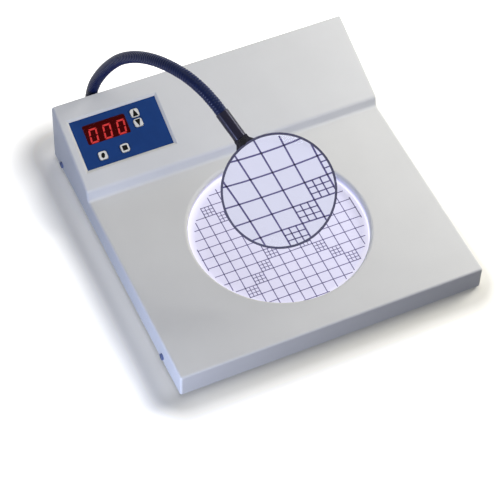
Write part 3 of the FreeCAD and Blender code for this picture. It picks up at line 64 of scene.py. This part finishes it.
class Shader:
    """A node material around one Principled shader."""

    def __init__(self, name, colour, roughness, **sockets):
        self.material = bpy.data.materials.new(name)
        self.material.use_nodes = True
        self.tree = self.material.node_tree
        self.tree.nodes.clear()
        self.out = self.add("ShaderNodeOutputMaterial")
        self.main = self.add("ShaderNodeBsdfPrincipled")
        self.link(self.main, "BSDF", self.out, "Surface")
        self.put("Base Color", colour)
        self.put("Roughness", roughness)
        for socket, value in sockets.items():
            self.put(socket.replace("_", " "), value)
        self.places = self.add("ShaderNodeTexCoord")

    def add(self, kind, **settings):
        node = self.tree.nodes.new(kind)
        for key, value in settings.items():
            setattr(node, key, value)
        return node

    def link(self, source, output, target, socket):
        self.tree.links.new(source.outputs[output], target.inputs[socket])

    def put(self, socket, value):
        target = self.main.inputs[socket]
        target.default_value = (*value, 1.0) if isinstance(value, tuple) else value

    def noise(self, scale, detail=3.0, stretch=None):
        """Noise in the piece's own place, with features of about 1/scale metres, stretched if asked."""
        texture = self.add("ShaderNodeTexNoise")
        texture.inputs["Scale"].default_value = scale
        texture.inputs["Detail"].default_value = detail
        if stretch is None:
            self.link(self.places, "Object", texture, "Vector")
        else:
            mapping = self.add("ShaderNodeMapping")
            mapping.inputs["Scale"].default_value = stretch
            self.link(self.places, "Object", mapping, "Vector")
            self.link(mapping, "Vector", texture, "Vector")
        return texture

    def ramp(self, source, output, low, high, start=0.3, end=0.7):
        """A range of values between two limits."""
        span = self.add("ShaderNodeMapRange")
        for socket, value in (("From Min", start), ("From Max", end), ("To Min", low), ("To Max", high)):
            span.inputs[socket].default_value = value
        self.link(source, output, span, "Value")
        return span

    def vector(self, operation, *values):
        """A vector node, with fixed values for its sockets from the second on."""
        node = self.add("ShaderNodeVectorMath", operation=operation)
        for index, value in enumerate(values, 1):
            node.inputs[index].default_value = value
        return node

    def combine(self, operation, *sources):
        """A number from the outputs of other nodes, each given with the output's name."""
        node = self.add("ShaderNodeMath", operation=operation)
        for index, (source, output) in enumerate(sources):
            self.link(source, output, node, index)
        return node

    def tint(self, first, second, source, output):
        """Base colour between two shades, by a value from 0 to 1."""
        blend = self.add("ShaderNodeMix", data_type="RGBA")
        blend.inputs["A"].default_value = (*first, 1.0)
        blend.inputs["B"].default_value = (*second, 1.0)
        self.link(source, output, blend, "Factor")
        self.link(blend, "Result", self.main, "Base Color")
        return blend

    def mottle(self, first, second, scale, detail=3.0, stretch=None):
        """Base colour that drifts between two shades."""
        self.tint(first, second, self.ramp(self.noise(scale, detail, stretch), "Fac", 0.0, 1.0), "Result")
        return self

    def polish(self, low, high, scale, stretch=None):
        """Roughness that varies over the surface."""
        rough = self.ramp(self.noise(scale, 4.0, stretch), "Fac", low, high)
        self.link(rough, "Result", self.main, "Roughness")
        return self

    def grain(self, height, scale, detail=2.0, stretch=None):
        """A fine relief, its height in metres."""
        bump = self.add("ShaderNodeBump")
        bump.inputs["Distance"].default_value = height
        self.link(self.noise(scale, detail, stretch), "Fac", bump, "Height")
        self.link(bump, "Normal", self.main, "Normal")
        return self

    def dress(self, *names):
        """Puts the finish on CAD nodes."""
        for name in names:
            mesh = nodes[name].data
            mesh.materials.clear()
            mesh.materials.append(self.material)
        return self


def shade(value, share):
    """A colour made darker or lighter."""
    return tuple(channel * share for channel in value)


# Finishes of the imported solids
PAINT = (0.62, 0.618, 0.612)
paint = Shader("paint", PAINT, 0.5, Specular_IOR_Level=0.15)
paint.mottle(shade(PAINT, 0.985), shade(PAINT, 1.015), 30.0).polish(0.46, 0.56, 60.0).grain(0.00004, 1100.0)
paint.dress("housing_cover", "rear_panel")

ZINC = (0.52, 0.53, 0.54)
zinc = Shader("zinc", ZINC, 0.4, Metallic=0.8)
zinc.mottle(shade(ZINC, 0.9), shade(ZINC, 1.1), 90.0).polish(0.3, 0.5, 240.0).dress("chassis_tray")

STEEL = (0.60, 0.60, 0.61)
steel = Shader("steel", STEEL, 0.3, Metallic=1.0)
steel.mottle(shade(STEEL, 0.85), shade(STEEL, 1.1), 900.0).polish(0.22, 0.4, 1500.0).grain(0.00001, 2500.0)
steel.dress("rear_panel_screws", "foot_screws", "carrier_fixings", "board_screws",
            "power_board_screws", "inlet_screws", "bracket_fixings", "neck_nut")

BLUED = (0.10, 0.135, 0.27)
blued = Shader("blued_steel", BLUED, 0.45, Metallic=0.3)
blued.mottle(shade(BLUED, 0.85), shade(BLUED, 1.1), 900.0).polish(0.4, 0.5, 1500.0).dress("cover_screws")

RUBBER = (0.022, 0.022, 0.023)
rubber = Shader("rubber", RUBBER, 0.75)
rubber.mottle(RUBBER, shade(RUBBER, 1.6), 300.0).grain(0.00003, 1800.0).dress("rubber_feet", "plate_pads")

BLACK = (0.018, 0.018, 0.02)
moulded = Shader("moulded_black", BLACK, 0.5)
moulded.mottle(BLACK, shade(BLACK, 1.5), 400.0).polish(0.42, 0.58, 500.0).grain(0.00003, 2600.0)
moulded.dress("touch_switch", "keypad_carrier", "key_switches", "buzzer", "board_chips", "mains_inlet",
              "switch_frame")

digit_face = Shader("digit_face", (0.004, 0.003, 0.003), 0.6, Specular_IOR_Level=0.02)
digit_face.mottle((0.003, 0.002, 0.002), (0.005, 0.004, 0.004), 300.0).dress("digit_blocks")

rocker = Shader("rocker_black", BLACK, 0.22, Coat_Weight=0.4, Coat_Roughness=0.1)
rocker.mottle(BLACK, shade(BLACK, 1.3), 300.0).polish(0.18, 0.28, 400.0).dress("power_rocker")

BRACKET = (0.03, 0.031, 0.034)
bracket = Shader("bracket_black", BRACKET, 0.4)
bracket.mottle(BRACKET, shade(BRACKET, 1.3), 200.0).polish(0.32, 0.48, 150.0).grain(0.00003, 1400.0)
bracket.dress("neck_bracket", "neck_bush")

GLOSS = (0.010, 0.009, 0.019)
gloss = Shader("gloss_black", GLOSS, 0.2, Specular_IOR_Level=0.2)
gloss.mottle(GLOSS, shade(GLOSS, 1.5), 500.0).polish(0.17, 0.24, 350.0).dress("lens_sleeve")
gloss.put("Specular Tint", (0.80, 0.78, 1.0))

SLATE = (0.10, 0.095, 0.155)
slate = Shader("slate_rim", SLATE, 0.3, Specular_IOR_Level=0.3)
slate.polish(0.2, 0.32, 350.0).dress("lens_rim")


def black_saddle():
    """The rim's slate and, past the rim's own radius, the black of its saddle."""
    slate_to = 46.05 * MM
    black_from = 46.3 * MM
    low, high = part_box("lens")
    apart = slate.vector("DISTANCE", (low + high) / 2)
    slate.link(slate.places, "Object", apart, 0)
    slate.tint(SLATE, GLOSS, slate.ramp(apart, "Value", 0.0, 1.0, slate_to, black_from), "Result")


black_saddle()

dark_steel = Shader("dark_steel", (0.02, 0.02, 0.023), 0.35, Metallic=1.0)
dark_steel.mottle((0.016, 0.016, 0.019), (0.025, 0.025, 0.028), 900.0).polish(0.3, 0.42, 1500.0)
dark_steel.dress("rim_screw")

WHITE = (0.80, 0.80, 0.80)
white = Shader("moulded_white", WHITE, 0.5)
white.mottle(shade(WHITE, 0.97), WHITE, 200.0).grain(0.00002, 2000.0)
white.dress("light_posts", "reflector_disc", "diffuser")

BOARD = (0.01, 0.11, 0.045)
board = Shader("solder_mask", BOARD, 0.3, Coat_Weight=0.3)
board.mottle(shade(BOARD, 0.8), shade(BOARD, 1.3), 250.0).polish(0.25, 0.38, 400.0)
board.dress("light_board", "control_board", "power_board")

phosphor = Shader("phosphor", (0.9, 0.78, 0.3), 0.4, Emission_Color=(1.0, 0.95, 0.85), Emission_Strength=1.0)
phosphor.mottle((0.9, 0.78, 0.3), (0.95, 0.85, 0.45), 900.0).dress("light_leds")

BRASS = (0.62, 0.45, 0.18)
brass = Shader("brass", BRASS, 0.3, Metallic=1.0)
brass.mottle(shade(BRASS, 0.85), BRASS, 700.0).polish(0.22, 0.38, 900.0).dress("board_posts", "power_posts")

TIN = (0.62, 0.60, 0.55)
tin = Shader("tinned", TIN, 0.28, Metallic=1.0)
tin.mottle(shade(TIN, 0.88), TIN, 800.0).polish(0.2, 0.36, 900.0).dress("inlet_pins", "fuse_clips")

TAPE = (0.62, 0.45, 0.05)
tape = Shader("yellow_tape", TAPE, 0.35)
tape.mottle(shade(TAPE, 0.9), TAPE, 120.0, stretch=(1.0, 1.0, 12.0)).grain(0.00004, 150.0)
tape.dress("transformer")

CAN = (0.02, 0.03, 0.10)
can = Shader("sleeved_can", CAN, 0.3)
can.mottle(CAN, shade(CAN, 1.5), 150.0).polish(0.24, 0.36, 200.0).dress("capacitors")

tube_glass = Shader("tube_glass", (0.9, 0.95, 0.95), 0.05, Transmission_Weight=0.9, IOR=1.47)
tube_glass.mottle((0.88, 0.93, 0.93), (0.95, 0.98, 0.98), 300.0).dress("fuse")

SHEATH = (0.03, 0.03, 0.033)
sheath = Shader("lead_sheath", SHEATH, 0.55)
sheath.mottle(SHEATH, shade(SHEATH, 1.6), 300.0).grain(0.00003, 1500.0)
sheath.dress("lamp_lead", "control_lead", "mains_leads")

WELL = (0.60, 0.59, 0.72)
# The white emission colour serves a painted glow at the wall's foot, set by height below.
well = Shader("well_white", WELL, 0.35, Emission_Color=(1.0, 1.0, 1.0))
well.mottle(shade(WELL, 0.97), WELL, 120.0).polish(0.3, 0.42, 200.0).dress("well_ring")


def painted_foot_glow():
    """Painted glow in the foot of the well's wall, standing in for light from the plate's edge."""
    strength = 0.5
    full_to = 0.5 * MM
    none_from = 4.0 * MM
    split = well.add("ShaderNodeSeparateXYZ")
    well.link(well.places, "Object", split, "Vector")
    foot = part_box("grid_plate")[1].z
    glow = well.ramp(split, "Z", strength, 0.0, foot + full_to, foot + none_from)
    well.link(glow, "Result", well.main, "Emission Strength")


painted_foot_glow()

FILM = (0.0095, 0.042, 0.168)
film = Shader("blue_film", FILM, 0.6, Specular_IOR_Level=0.08)
film.mottle(shade(FILM, 0.92), shade(FILM, 1.08), 60.0).polish(0.55, 0.65, 150.0).grain(0.00002, 2600.0)
film.dress("keypad_overlay")

KEY = (0.62, 0.61, 0.58)
key_cap = Shader("key_cap", KEY, 0.45)
key_cap.mottle(shade(KEY, 0.95), shade(KEY, 1.04), 300.0).polish(0.4, 0.52, 500.0).grain(0.00002, 2200.0)
key_cap.dress("key_up", "key_down", "key_zero", "key_set")

window = Shader("red_window", (0.030, 0.001, 0.001), 0.3, Specular_IOR_Level=0.02, Alpha=0.4)
window.mottle((0.028, 0.001, 0.001), (0.033, 0.001, 0.001), 200.0).polish(0.26, 0.34, 300.0)
# Painted glow: a faint red emission stands in for the digits' light scattered in the window.
window.put("Emission Color", (1.0, 0.01, 0.015))
window.put("Emission Strength", 0.05)
window.dress("display_window")

lit = Shader("lit_segment", (0.8, 0.06, 0.06), 0.5, Emission_Color=(1.0, 0.07, 0.07), Emission_Strength=1.3)
lit.mottle((0.75, 0.05, 0.05), (0.85, 0.07, 0.07), 500.0).dress("digit_segments")


def painted_glow_plate():
    """Opal counting plate whose painted glow stands in for the light from below: lavender white, with a
    brighter painted glow along its bare margin.
    """
    opal = (0.365, 0.357, 0.447)
    bare = (0.46, 0.45, 0.52)
    opal_to = 69.0 * MM
    bare_from = 74.5 * MM
    plate = Shader("counting_plate", opal, 0.5, Specular_IOR_Level=0.2, Emission_Strength=1.15)
    low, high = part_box("grid_plate")
    middle = (low + high) / 2
    shift = plate.vector("SUBTRACT", (middle.x, middle.y, 0.0))
    flat = plate.vector("MULTIPLY", (1.0, 1.0, 0.0))
    length = plate.vector("LENGTH")
    plate.link(plate.places, "Object", shift, 0)
    plate.link(shift, "Vector", flat, 0)
    plate.link(flat, "Vector", length, 0)
    colour = plate.tint(opal, bare, plate.ramp(length, "Value", 0.0, 1.0, opal_to, bare_from), "Result")
    # The same colour drives the painted glow, so the bare margin glows brighter.
    plate.link(colour, "Result", plate.main, "Emission Color")
    plate.dress("grid_plate")


painted_glow_plate()


def piece(name, points, faces, shader, body=None, smooth=False):
    """A mesh piece in the part's frame."""
    mesh = bpy.data.meshes.new(name)
    mesh.from_pydata([tuple(point) for point in points], [], faces)
    mesh.validate()
    mesh.update()
    if smooth:
        mesh.shade_smooth()
    made = bpy.data.objects.new(name, mesh)
    scene.collection.objects.link(made)
    mesh.materials.append(shader.material)
    if body:
        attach(made, body)
    return made


def slabs(outlines, thickness, at):
    """Thin solids on flat outlines, each laid out by a function of across, along and out."""
    points = []
    faces = []
    for outline in outlines:
        count = len(outline)
        first = len(points)
        for height in (0.0, thickness):
            points += [at(across, along, height) for across, along in outline]
        faces.append(tuple(range(first + count, first + 2 * count)))
        faces.append(tuple(range(first + count - 1, first - 1, -1)))
        for index in range(count):
            following = (index + 1) % count
            faces.append((first + index, first + following, first + count + following, first + count + index))
    return points, faces


def counting_grid():
    """Printed centimetre squares, with those on both diagonals divided in nine."""
    low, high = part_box("grid_plate")
    off_centre = Vector((1.1, -0.3, 0.0)) * MM
    middle = (low + high) / 2 + off_centre
    # Millimetres
    reach = 71.0
    pitch = 10.0
    wide = 0.75
    fine = 0.6
    thickness = 0.04
    most_lines = 7
    most_squares = 5
    strips = []

    def strip(along_x, offset, start, end, width):
        """One line: its offset from the middle and where it starts and ends."""
        low_side = offset - width / 2
        high_side = offset + width / 2
        if along_x:
            return [(start, low_side), (end, low_side), (end, high_side), (start, high_side)]
        return [(high_side, start), (high_side, end), (low_side, end), (low_side, start)]

    for index in range(-most_lines, most_lines + 1):
        offset = index * pitch
        half = math.sqrt(reach ** 2 - offset ** 2)
        strips.append(strip(True, offset, -half, half, wide))
        strips.append(strip(False, offset, -half, half, wide))
    for index in range(-most_squares, most_squares):
        for cell in (index, -1 - index):
            left = index * pitch
            low_edge = cell * pitch
            for third in (1, 2):
                step = third * pitch / 3
                strips.append(strip(True, low_edge + step, left, left + pitch, fine))
                strips.append(strip(False, left + step, low_edge, low_edge + pitch, fine))

    def at(across, along, out):
        return Vector((middle.x + across * MM, middle.y + along * MM, high.z + out * MM))

    ink = Shader("grid_ink", (0.11, 0.092, 0.25), 0.5, Specular_IOR_Level=0.2)
    ink.mottle((0.10, 0.084, 0.235), (0.12, 0.10, 0.265), 80.0)
    made = piece("grid_lines", *slabs(strips, thickness, at), ink, "plate")


counting_grid()


# Signs on the keys and on the power switch, with outlines in millimetres
IN_PANEL = Vector(joints["up_press"]["axis"])
ACROSS = Vector((1, 0, 0))
ALONG = ACROSS.cross(IN_PANEL)
SIGN_THICKNESS = 0.05


def face_of(name, out):
    """Middle of a node's outermost flat face in a direction."""
    points = [vertex.co for vertex in nodes[name].data.vertices]
    top = max(point.dot(out) for point in points)
    level = 0.01 * MM
    ring = [point for point in points if point.dot(out) > top - level]
    low = Vector([min(point[axis] for point in ring) for axis in range(3)])
    high = Vector([max(point[axis] for point in ring) for axis in range(3)])
    return (low + high) / 2


def key_signs():
    """An arrow up, an arrow down, a leaning oval and a square."""
    ink = Shader("sign_ink", (0.005, 0.005, 0.004), 0.8, Specular_IOR_Level=0.1)
    ink.mottle((0.004, 0.004, 0.003), (0.006, 0.006, 0.005), 500.0)
    sides = 28
    turns = [index * math.tau / sides for index in range(sides)]
    oval = [(1.7 * math.cos(turn), 2.4 * math.sin(turn)) for turn in turns]
    lean = 0.18
    signs = {
        "key_up": ("up_key", [(-2.5, -3.0), (2.5, -3.0), (0.0, 3.5)]),
        "key_down": ("down_key", [(-2.5, 3.0), (0.0, -3.5), (2.5, 3.0)]),
        "key_zero": ("zero_key", [(across + lean * along, along) for across, along in oval]),
        "key_set": ("set_key", [(-2.2, -2.2), (2.2, -2.2), (2.2, 2.2), (-2.2, 2.2)]),
    }
    for name, (body, outline) in signs.items():
        middle = face_of(name, -IN_PANEL)

        def at(across, along, out):
            return middle + (ACROSS * across + ALONG * along - IN_PANEL * out) * MM

        made = piece(name + "_sign", *slabs([outline], SIGN_THICKNESS, at), ink, body)


key_signs()


def switch_signs():
    """A bar for on and a ring for off, each on its own face of the power switch."""
    ink = Shader("switch_ink", (0.75, 0.75, 0.74), 0.5)
    ink.mottle((0.70, 0.70, 0.69), (0.78, 0.78, 0.77), 500.0)
    rocker_mesh = nodes["power_rocker"].data
    low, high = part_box("power_rocker")
    outer = 1.9
    inner = 1.4
    half_bar = 0.3
    sides = 24
    ring = []
    for index in range(sides):
        turns = [(index + side) * math.tau / sides for side in (0, 1)]
        corners = [(outer, turns[0]), (outer, turns[1]), (inner, turns[1]), (inner, turns[0])]
        ring.append([(reach * math.cos(turn), reach * math.sin(turn)) for reach, turn in corners])
    bar = [[(-half_bar, -outer), (half_bar, -outer), (half_bar, outer), (-half_bar, outer)]]
    level = (low.z + high.z) / 2
    for name, half, outlines in (("switch_bar", 1, bar), ("switch_ring", -1, ring)):
        rearward = [face for face in rocker_mesh.polygons
                    if face.normal.y > 0.5 and (face.center.z - level) * half > 0]
        facet = max(rearward, key=lambda face: face.area)
        out = facet.normal.copy()
        up = ACROSS.cross(out) * -1
        corners = [rocker_mesh.vertices[index].co for index in facet.vertices]
        top = max(corner.dot(up) for corner in corners)
        foot = min(corner.dot(up) for corner in corners)
        start = corners[0] + up * ((top + foot) / 2 - corners[0].dot(up))
        middle = Vector(((low.x + high.x) / 2, start.y, start.z))

        def at(across, along, height):
            return middle + (up * along - ACROSS * across + out * height) * MM

        made = piece(name, *slabs(outlines, SIGN_THICKNESS, at), ink, joints["power_rock"]["child"])


switch_signs()


def wound_neck():
    """The gooseneck as a tube with a fine helical rib, in six fixed pieces that each span one hinge."""
    names = ("neck_bend_1", "neck_sway_1", "neck_bend_2", "neck_sway_2", "neck_bend_3", "lens_nod")
    stations = [Vector(joints[name]["pos_m"]) for name in names]
    across = Vector(joints["neck_bend_1"]["axis"]).normalized()
    crest = 5.0 * MM
    root = 4.75 * MM
    pitch = 2.3 * MM
    flatness = 0.7
    sides = 40
    step = pitch / 8
    foot_end = 3.0 * MM
    lens_end = 6.0 * MM
    arcs = []
    heading = Vector((0, 0, 1))
    run = 0.0
    for start, end in zip(stations, stations[1:]):
        chord = end - start
        turn = 2 * heading.angle(chord)
        radius = chord.length / (2 * math.sin(turn / 2))
        inward = across.cross(heading) * -1
        if inward.dot(chord) < 0:
            inward = -inward
        arcs.append((run, start, heading.copy(), inward, radius, turn))
        run += radius * turn
        heading = (heading * math.cos(turn) + inward * math.sin(turn)).normalized()
    total = run

    def spot(distance):
        """Point, heading and normal at a distance along the neck, with straight ends."""
        if distance < 0:
            first = arcs[0]
            return first[1] + first[2] * distance, first[2], first[3]
        for begin, start, ahead, inward, radius, turn in reversed(arcs):
            if distance >= begin:
                break
        extra = max(0.0, distance - total)
        angle = (min(distance, total) - begin) / radius
        along = ahead * math.cos(angle) + inward * math.sin(angle)
        point = start + ahead * (radius * math.sin(angle)) + inward * (radius * (1 - math.cos(angle)))
        return point + along * extra, along, inward * math.cos(angle) - ahead * math.sin(angle)

    def height(distance, turn):
        phase = distance / pitch - turn / math.tau
        return root + (crest - root) * (0.5 - 0.5 * math.cos(math.tau * phase)) ** flatness

    skin = Shader("neck_sheath", (0.002, 0.009, 0.055), 0.3, Specular_IOR_Level=0.14)
    skin.mottle((0.002, 0.008, 0.051), (0.003, 0.011, 0.061), 250.0).polish(0.26, 0.34, 500.0)
    bounds = [-foot_end]
    bounds += [begin + radius * turn / 2 for begin, _, _, _, radius, turn in arcs]
    bounds.append(total + lens_end)
    for index, (first, last) in enumerate(zip(bounds, bounds[1:])):
        low = round(first / step)
        high = round(last / step)
        points = []
        normals = []
        faces = []
        for ring in range(low, high + 1):
            distance = ring * step
            centre, along, side = spot(distance)
            for corner in range(sides):
                turn = corner * math.tau / sides
                out = across * math.cos(turn) + side * math.sin(turn)
                radius = height(distance, turn)
                slope = (height(distance + step / 4, turn) - height(distance - step / 4, turn)) / (step / 2)
                points.append(centre + out * radius)
                normals.append((out - along * slope).normalized())
        for ring in range(high - low):
            for corner in range(sides):
                here = ring * sides + corner
                beside = ring * sides + (corner + 1) % sides
                faces.append((here, beside, beside + sides, here + sides))
        made = piece(f"neck_tube_{index}", points, faces, skin, smooth=True)
        made.data.normals_split_custom_set_from_vertices([tuple(normal) for normal in normals])
        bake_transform(made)
        if index:
            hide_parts(f"neck_span_{index}")


wound_neck()


def magnifying_lens():
    """A biconvex lens, its normals eased towards its upper side so that its picture of the plate is even."""
    solid = [vertex.co for vertex in nodes["lens"].data.vertices]
    low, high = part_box("lens")
    middle = (low + high) / 2
    end = Vector(joints["lens_nod"]["pos_m"])
    axis_x = (middle - end).normalized()
    across = Vector(joints["neck_bend_1"]["axis"]).normalized()
    up = across.cross(axis_x)
    roll = math.radians(29.0)
    normal = (up * math.cos(roll) + across * math.sin(roll)).normalized()
    side = normal.cross(axis_x)
    reach = max((point - middle - normal * (point - middle).dot(normal)).length for point in solid)
    edge = 1.5 * MM
    curve = 217.0 * MM
    ease = 2.6
    centre = axis_x * 2.2 * MM - side * 0.7 * MM
    upward = (Vector((0, 0, 1)) - normal * normal.z).normalized()
    base = math.sqrt(curve ** 2 - reach ** 2)
    rings = 40
    sides = 180
    points = []
    slopes = []
    faces = []
    for face in (1, -1):
        first = len(points)
        points.append(middle + normal * face * (edge + curve - base))
        slopes.append(normal * face - centre / curve)
        for ring in range(1, rings + 1):
            radius = reach * ring / rings
            height = face * (edge + math.sqrt(curve ** 2 - radius ** 2) - base)
            for corner in range(sides):
                turn = corner * math.tau / sides
                flat = axis_x * math.cos(turn) + side * math.sin(turn)
                points.append(middle + flat * radius + normal * height)
                lean = (flat * radius - centre) / curve / (1 + ease * radius * flat.dot(upward))
                slopes.append(normal * face + lean)
        for corner in range(sides):
            following = (corner + 1) % sides
            fan = (first, first + 1 + corner, first + 1 + following)
            faces.append(fan if face > 0 else fan[::-1])
            for ring in range(rings - 1):
                inner = first + 1 + ring * sides
                outer = inner + sides
                quad = (inner + corner, outer + corner, outer + following, inner + following)
                faces.append(quad if face > 0 else quad[::-1])
    upper = 1 + (rings - 1) * sides
    lower = upper + 1 + rings * sides
    for corner in range(sides):
        following = (corner + 1) % sides
        faces.append((upper + corner, lower + corner, lower + following, upper + following))
    glass = Shader("lens_glass", (0.87, 0.90, 0.89), 0.0, Transmission_Weight=1.0, IOR=1.5)
    glass.put("Specular Tint", (0.1, 0.1, 0.12))
    clear = glass.add("ShaderNodeBsdfTransparent")
    path = glass.add("ShaderNodeLightPath")
    soft = glass.add("ShaderNodeMath", operation="MAXIMUM")
    glass.link(path, "Is Shadow Ray", soft, 0)
    glass.link(path, "Is Diffuse Ray", soft, 1)
    swap = glass.add("ShaderNodeMixShader")
    glass.link(soft, "Value", swap, 0)
    glass.link(glass.main, "BSDF", swap, 1)
    glass.link(clear, "BSDF", swap, 2)
    glass.link(swap, "Shader", glass.out, "Surface")
    made = piece("lens_body", points, faces, glass, "lens_head", smooth=True)
    made.data.normals_split_custom_set_from_vertices([tuple(slope.normalized()) for slope in slopes])
    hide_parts("lens")


magnifying_lens()


def floor_with_painted_shade():
    """White floor with a painted soft shade close to the housing and a painted glow that grows with the
    distance from it, that throws little light back up.
    """
    bare = (1.0, 0.985, 0.955)
    painted_shade_colour = (0.70, 0.675, 0.60)
    seen_by_light = (0.10, 0.10, 0.10, 1.0)
    left_margin = 5.0 * MM
    rear_margin = 14.0 * MM
    front_fade = 50.0 * MM
    side_fade = 30.0 * MM
    corner = 12.0 * MM
    # Painted glow by the distance from the rounded outline, which lightens the shade at the housing's foot
    # and whitens the floor away from it: its value at the start and end, and where these are
    contact = (0.15, 0.0, corner - 3.0 * MM, corner + 10.0 * MM)
    outer = (0.0, 0.68, corner + 12.0 * MM, corner + 41.0 * MM)
    far = (0.0, 0.35, 0.2, 0.7)
    half = 6.0
    floor = Shader("floor", bare, 1.0, Specular_IOR_Level=0.0, Emission_Color=(1.0, 1.0, 1.0))
    low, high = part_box("housing_cover")
    low.x -= left_margin
    high.y += rear_margin
    centre = (low + high) / 2
    apart = floor.vector("SUBTRACT", (centre.x, centre.y, 0.0))
    folded = floor.vector("ABSOLUTE")
    outside = floor.vector("SUBTRACT", (high.x - centre.x - corner, high.y - centre.y - corner, 0.0))
    beyond = floor.vector("MAXIMUM")
    away = floor.vector("LENGTH")
    split = floor.add("ShaderNodeSeparateXYZ")
    place = floor.add("ShaderNodeSeparateXYZ")
    floor.link(floor.places, "Object", apart, 0)
    floor.link(apart, "Vector", folded, 0)
    floor.link(folded, "Vector", outside, 0)
    floor.link(outside, "Vector", split, "Vector")
    floor.link(floor.places, "Object", place, "Vector")
    floor.link(outside, "Vector", beyond, 0)
    floor.link(beyond, "Vector", away, 0)
    near, middle, wide = [(floor.ramp(away, "Value", *limits), "Result") for limits in (contact, outer, far)]
    glow = floor.combine("ADD", (floor.combine("ADD", near, middle), "Value"), wide)
    floor.link(glow, "Value", floor.main, "Emission Strength")
    # Painted shade: the floor's colour darkens in front of the housing and beside it.
    before = floor.ramp(place, "Y", 0.0, 1.0, low.y - front_fade, low.y)
    behind = floor.ramp(place, "Y", 1.0, 0.0, low.y, high.y)
    front = floor.combine("MINIMUM", (before, "Result"), (behind, "Result"))
    close = floor.ramp(split, "X", 1.0, 0.0, corner, corner + side_fade)
    beside = floor.combine("MULTIPLY", (front, "Value"), (close, "Result"))
    floor.tint(bare, painted_shade_colour, beside, "Value")
    path = floor.add("ShaderNodeLightPath")
    dim = floor.add("ShaderNodeBsdfDiffuse")
    dim.inputs["Color"].default_value = seen_by_light
    blend = floor.add("ShaderNodeMixShader")
    floor.link(path, "Is Diffuse Ray", blend, 0)
    floor.link(floor.main, "BSDF", blend, 1)
    floor.link(dim, "BSDF", blend, 2)
    floor.link(blend, "Shader", floor.out, "Surface")
    corners = [(-half, -half, 0), (half, -half, 0), (half, half, 0), (-half, half, 0)]
    ground = piece("floor", corners, [(0, 1, 2, 3)], floor)


def backdrop():
    """A world that camera, mirrors and glass see white, and that gives the surfaces little light."""
    world = bpy.data.worlds.new("studio")
    scene.world = world
    world.use_nodes = True
    tree = world.node_tree
    tree.nodes.clear()
    out = tree.nodes.new("ShaderNodeOutputWorld")
    path = tree.nodes.new("ShaderNodeLightPath")
    blend = tree.nodes.new("ShaderNodeMixShader")
    tree.links.new(path.outputs["Is Diffuse Ray"], blend.inputs[0])
    for socket, colour, strength in ((1, (1.0, 1.0, 1.0, 1.0), 1.0), (2, (0.86, 0.92, 1.0, 1.0), 0.02)):
        background = tree.nodes.new("ShaderNodeBackground")
        background.inputs["Color"].default_value = colour
        background.inputs["Strength"].default_value = strength
        tree.links.new(background.outputs[0], blend.inputs[socket])
    tree.links.new(blend.outputs[0], out.inputs["Surface"])


def lamp(name, place, size, power, colour, mirrored=True):
    """A round area lamp that faces the housing, with or without its picture in glossy surfaces."""
    light = bpy.data.lights.new(name, "AREA")
    light.shape = "DISK"
    light.size = size
    light.energy = power
    light.color = colour
    made = bpy.data.objects.new(name, light)
    scene.collection.objects.link(made)
    made.location = place
    made.rotation_euler = (Vector((0.0, 0.0, 0.03)) - Vector(place)).to_track_quat("-Z", "Y").to_euler()
    made.visible_glossy = mirrored


def photo_camera():
    """The camera fitted to the photo."""
    azimuth = -26.995
    elevation = 52.779
    roll = 2.811
    data = bpy.data.cameras.new("camera")
    data.sensor_width = 36.0
    data.lens = 149.37
    data.clip_start = 0.01
    data.clip_end = 50.0
    camera = bpy.data.objects.new("camera", data)
    scene.collection.objects.link(camera)
    turn = Matrix.Rotation(math.radians(azimuth), 4, "Z")
    turn = turn @ Matrix.Rotation(math.radians(90 - elevation), 4, "X")
    turn = turn @ Matrix.Rotation(math.radians(roll), 4, "Z")
    camera.matrix_world = Matrix.Translation((-0.4992, -0.96835, 1.38022)) @ turn
    scene.camera = camera


floor_with_painted_shade()
backdrop()
lamp("rear_key", (0.55, 0.9, 0.9), 0.5, 2.6, (1.0, 0.98, 0.98))
lamp("side_key", (0.7, 0.1, 0.7), 0.4, 3.8, (1.0, 1.0, 0.97), mirrored=False)
lamp("rear_fill", (-0.2, 1.1, 0.1), 0.3, 2.5, (1.0, 0.99, 0.97), mirrored=False)
lamp("near_side", (0.55, -0.06, 0.35), 0.25, 2.0, (1.0, 1.0, 1.0))
lamp("top", (0.0, 0.1, 1.6), 1.0, 6.4, (1.0, 0.99, 0.95))
lamp("left_fill", (-0.47, -0.295, 0.085), 0.16, 2.0, (0.57, 0.67, 0.98))
lamp("front_fill", (-0.25, -0.5, 0.06), 0.18, 0.56, (0.95, 0.94, 1.0))
photo_camera()
scene.view_settings.view_transform = "Standard"
